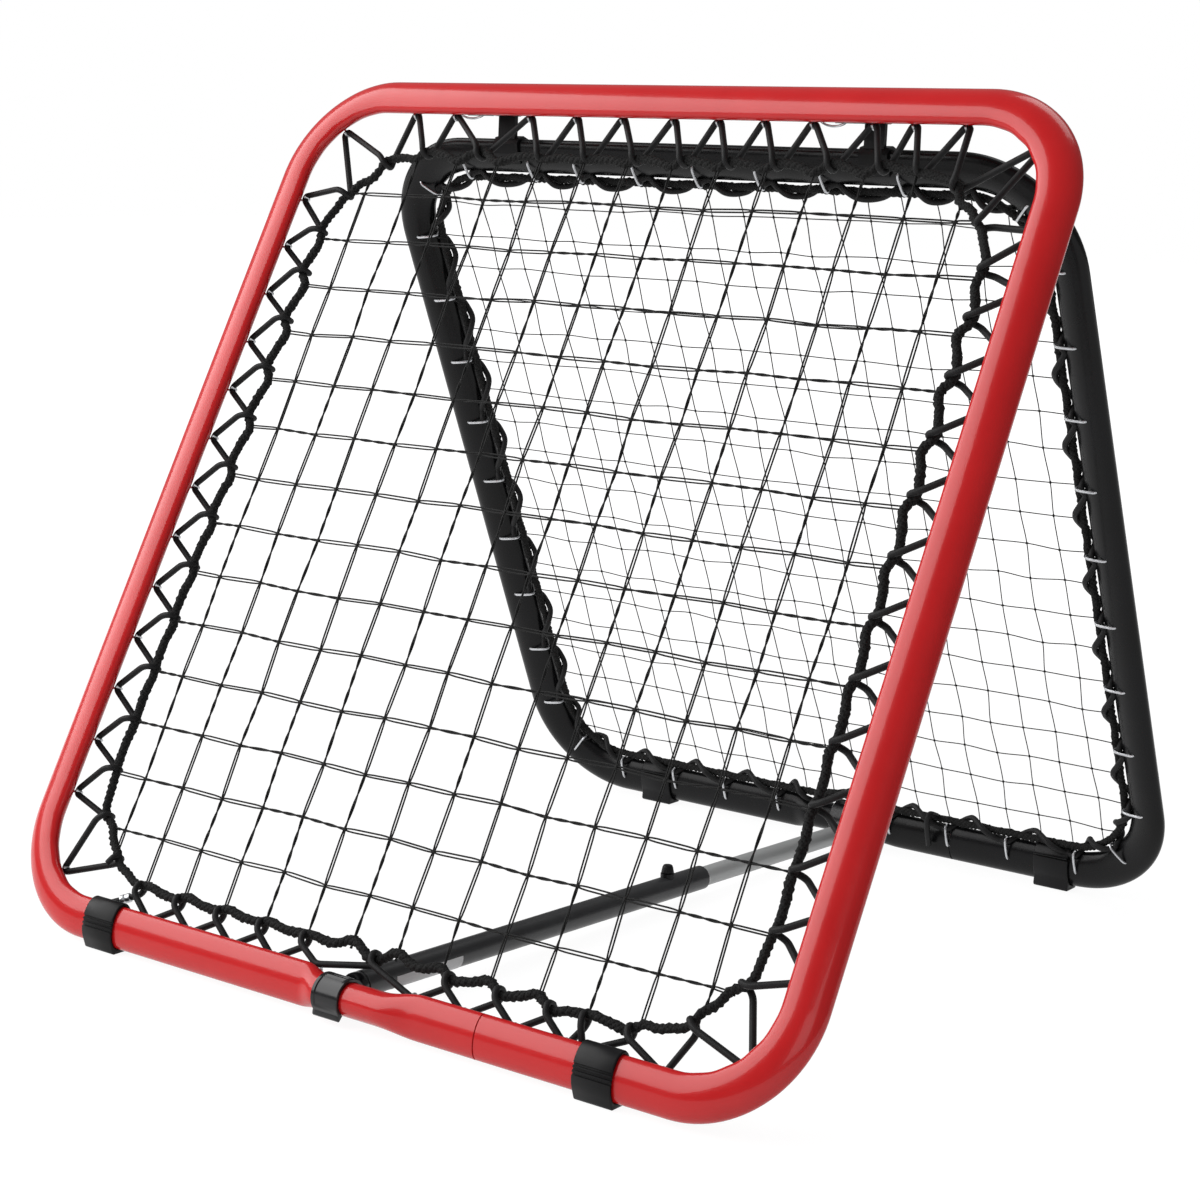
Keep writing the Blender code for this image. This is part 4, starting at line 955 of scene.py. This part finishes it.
strut_label()
for x, name in zip(LINKS, ("left", "right")):
    split_ring(name + "_ring_smooth", x, name + "_ring", name + "_split_ring")

# Nodes that keep the shape of their solids
KEPT = {"front_joint_sleeve": ZINC, "rear_joint_sleeve": ZINC, "left_hinge_bracket": STEEL,
        "right_hinge_bracket": STEEL, "left_hinge_link": STEEL, "right_hinge_link": STEEL,
        "left_hinge_pin": BRIGHT, "right_hinge_pin": BRIGHT, "strut_clamp_nut": STEEL,
        "strut_inner_stop": PLASTIC}
for name, finish in KEPT.items():
    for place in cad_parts[name].material_slots:
        place.material = finish


# Floor, light and camera

def aimed(name, energy, size, place, target=(0, 0, 0.3)):
    lamp = bpy.data.lights.new(name, "AREA")
    lamp.energy = energy
    lamp.shape = "RECTANGLE"
    lamp.size, lamp.size_y = size
    made = bpy.data.objects.new(name, lamp)
    bpy.context.scene.collection.objects.link(made)
    made.location = place
    made.rotation_euler = (Vector(target) - Vector(place)).to_track_quat("-Z", "Y").to_euler()


def seen_white(tree, lit, output, kept, strength):
    """White to the camera and in reflections, and lit plainly otherwise; kept is how much shading stays."""
    path = add(tree, "ShaderNodeLightPath")
    seen = figure(tree, "MAXIMUM", path.outputs["Is Camera Ray"], path.outputs["Is Glossy Ray"])
    clear = figure(tree, "MAXIMUM", seen, path.outputs["Is Transmission Ray"])
    share = figure(tree, "MULTIPLY", clear, figure(tree, "SUBTRACT", 1.0, kept))
    glow = add(tree, "ShaderNodeEmission", {"Color": (1, 1, 1, 1), "Strength": strength})
    mixed = add(tree, "ShaderNodeMixShader", {0: share, 1: lit, 2: glow.outputs[0]})
    tree.links.new(mixed.outputs[0], output)


FLOOR_GLOW, WORLD_LIGHT = 1.13, 0.26
# The camera, fitted to the photo
CAMERA_PLACE, CAMERA_LENS, CAMERA_SENSOR = (1.1907, -1.6219, 0.6395), 75.73, 36
CAMERA_RIGHT, CAMERA_UP = Vector((0.7950, 0.6060, 0.0255)), Vector((-0.1298, 0.1288, 0.9831))
CAMERA_VIEW = Vector((-0.5925, 0.7849, -0.1811))

floor_mesh = bpy.data.meshes.new("floor")
floor_mesh.from_pydata([(-12, -12, 0), (12, -12, 0), (12, 12, 0), (-12, 12, 0)], [], [(0, 1, 2, 3)])
floor = bpy.data.objects.new("floor", floor_mesh)
bpy.context.scene.collection.objects.link(floor)
floor.location.z = -0.0003
floor_finish, tree, shader = nodes_of("floor", 0.8)
patches = ramp(tree, noise(tree, 2.0), (0.80, 0.80, 0.80), (0.83, 0.83, 0.83))
tree.links.new(patches, shader.inputs["Base Color"])
place = add(tree, "ShaderNodeTexCoord")
away = add(tree, "ShaderNodeVectorMath", {0: place.outputs["Object"]}, operation="LENGTH")
fade = {"Value": away.outputs["Value"], "From Min": 0.7, "From Max": 1.7, "To Min": 0.18, "To Max": 0.0}
kept = add(tree, "ShaderNodeMapRange", fade).outputs["Result"]
seen_white(tree, shader.outputs[0], tree.nodes["Material Output"].inputs["Surface"], kept, FLOOR_GLOW)
floor_mesh.materials.append(floor_finish)

world = bpy.data.worlds.new("studio")
bpy.context.scene.world = world
world.use_nodes = True
tree = world.node_tree
plain = tree.nodes["Background"]
plain.inputs["Color"].default_value = (1, 1, 1, 1)
plain.inputs["Strength"].default_value = WORLD_LIGHT
path = add(tree, "ShaderNodeLightPath")
seen = figure(tree, "MAXIMUM", path.outputs["Is Camera Ray"], path.outputs["Is Transmission Ray"])
white = add(tree, "ShaderNodeBackground", {"Color": (1, 1, 1, 1), "Strength": 1.0})
mixed = add(tree, "ShaderNodeMixShader", {0: seen, 1: plain.outputs[0], 2: white.outputs[0]})
tree.links.new(mixed.outputs[0], tree.nodes["World Output"].inputs["Surface"])

aimed("key", 134, (4.2, 3.0), (-2.3, -1.6, 2.1))
aimed("top", 14, (1.6, 1.2), (0.3, 1.2, 2.8))
aimed("fill", 6, (1.2, 1.2), (1.6, -2.6, 1.0))

camera_data = bpy.data.cameras.new("camera")
camera_data.sensor_width = CAMERA_SENSOR
camera_data.lens = CAMERA_LENS
camera = bpy.data.objects.new("camera", camera_data)
bpy.context.scene.collection.objects.link(camera)
turn = Matrix((CAMERA_RIGHT, CAMERA_UP, -CAMERA_VIEW)).transposed().to_4x4()
camera.matrix_world = Matrix.Translation(CAMERA_PLACE) @ turn
bpy.context.scene.camera = camera
bpy.context.scene.view_settings.view_transform = "Standard"

bpy.context.view_layer.update()
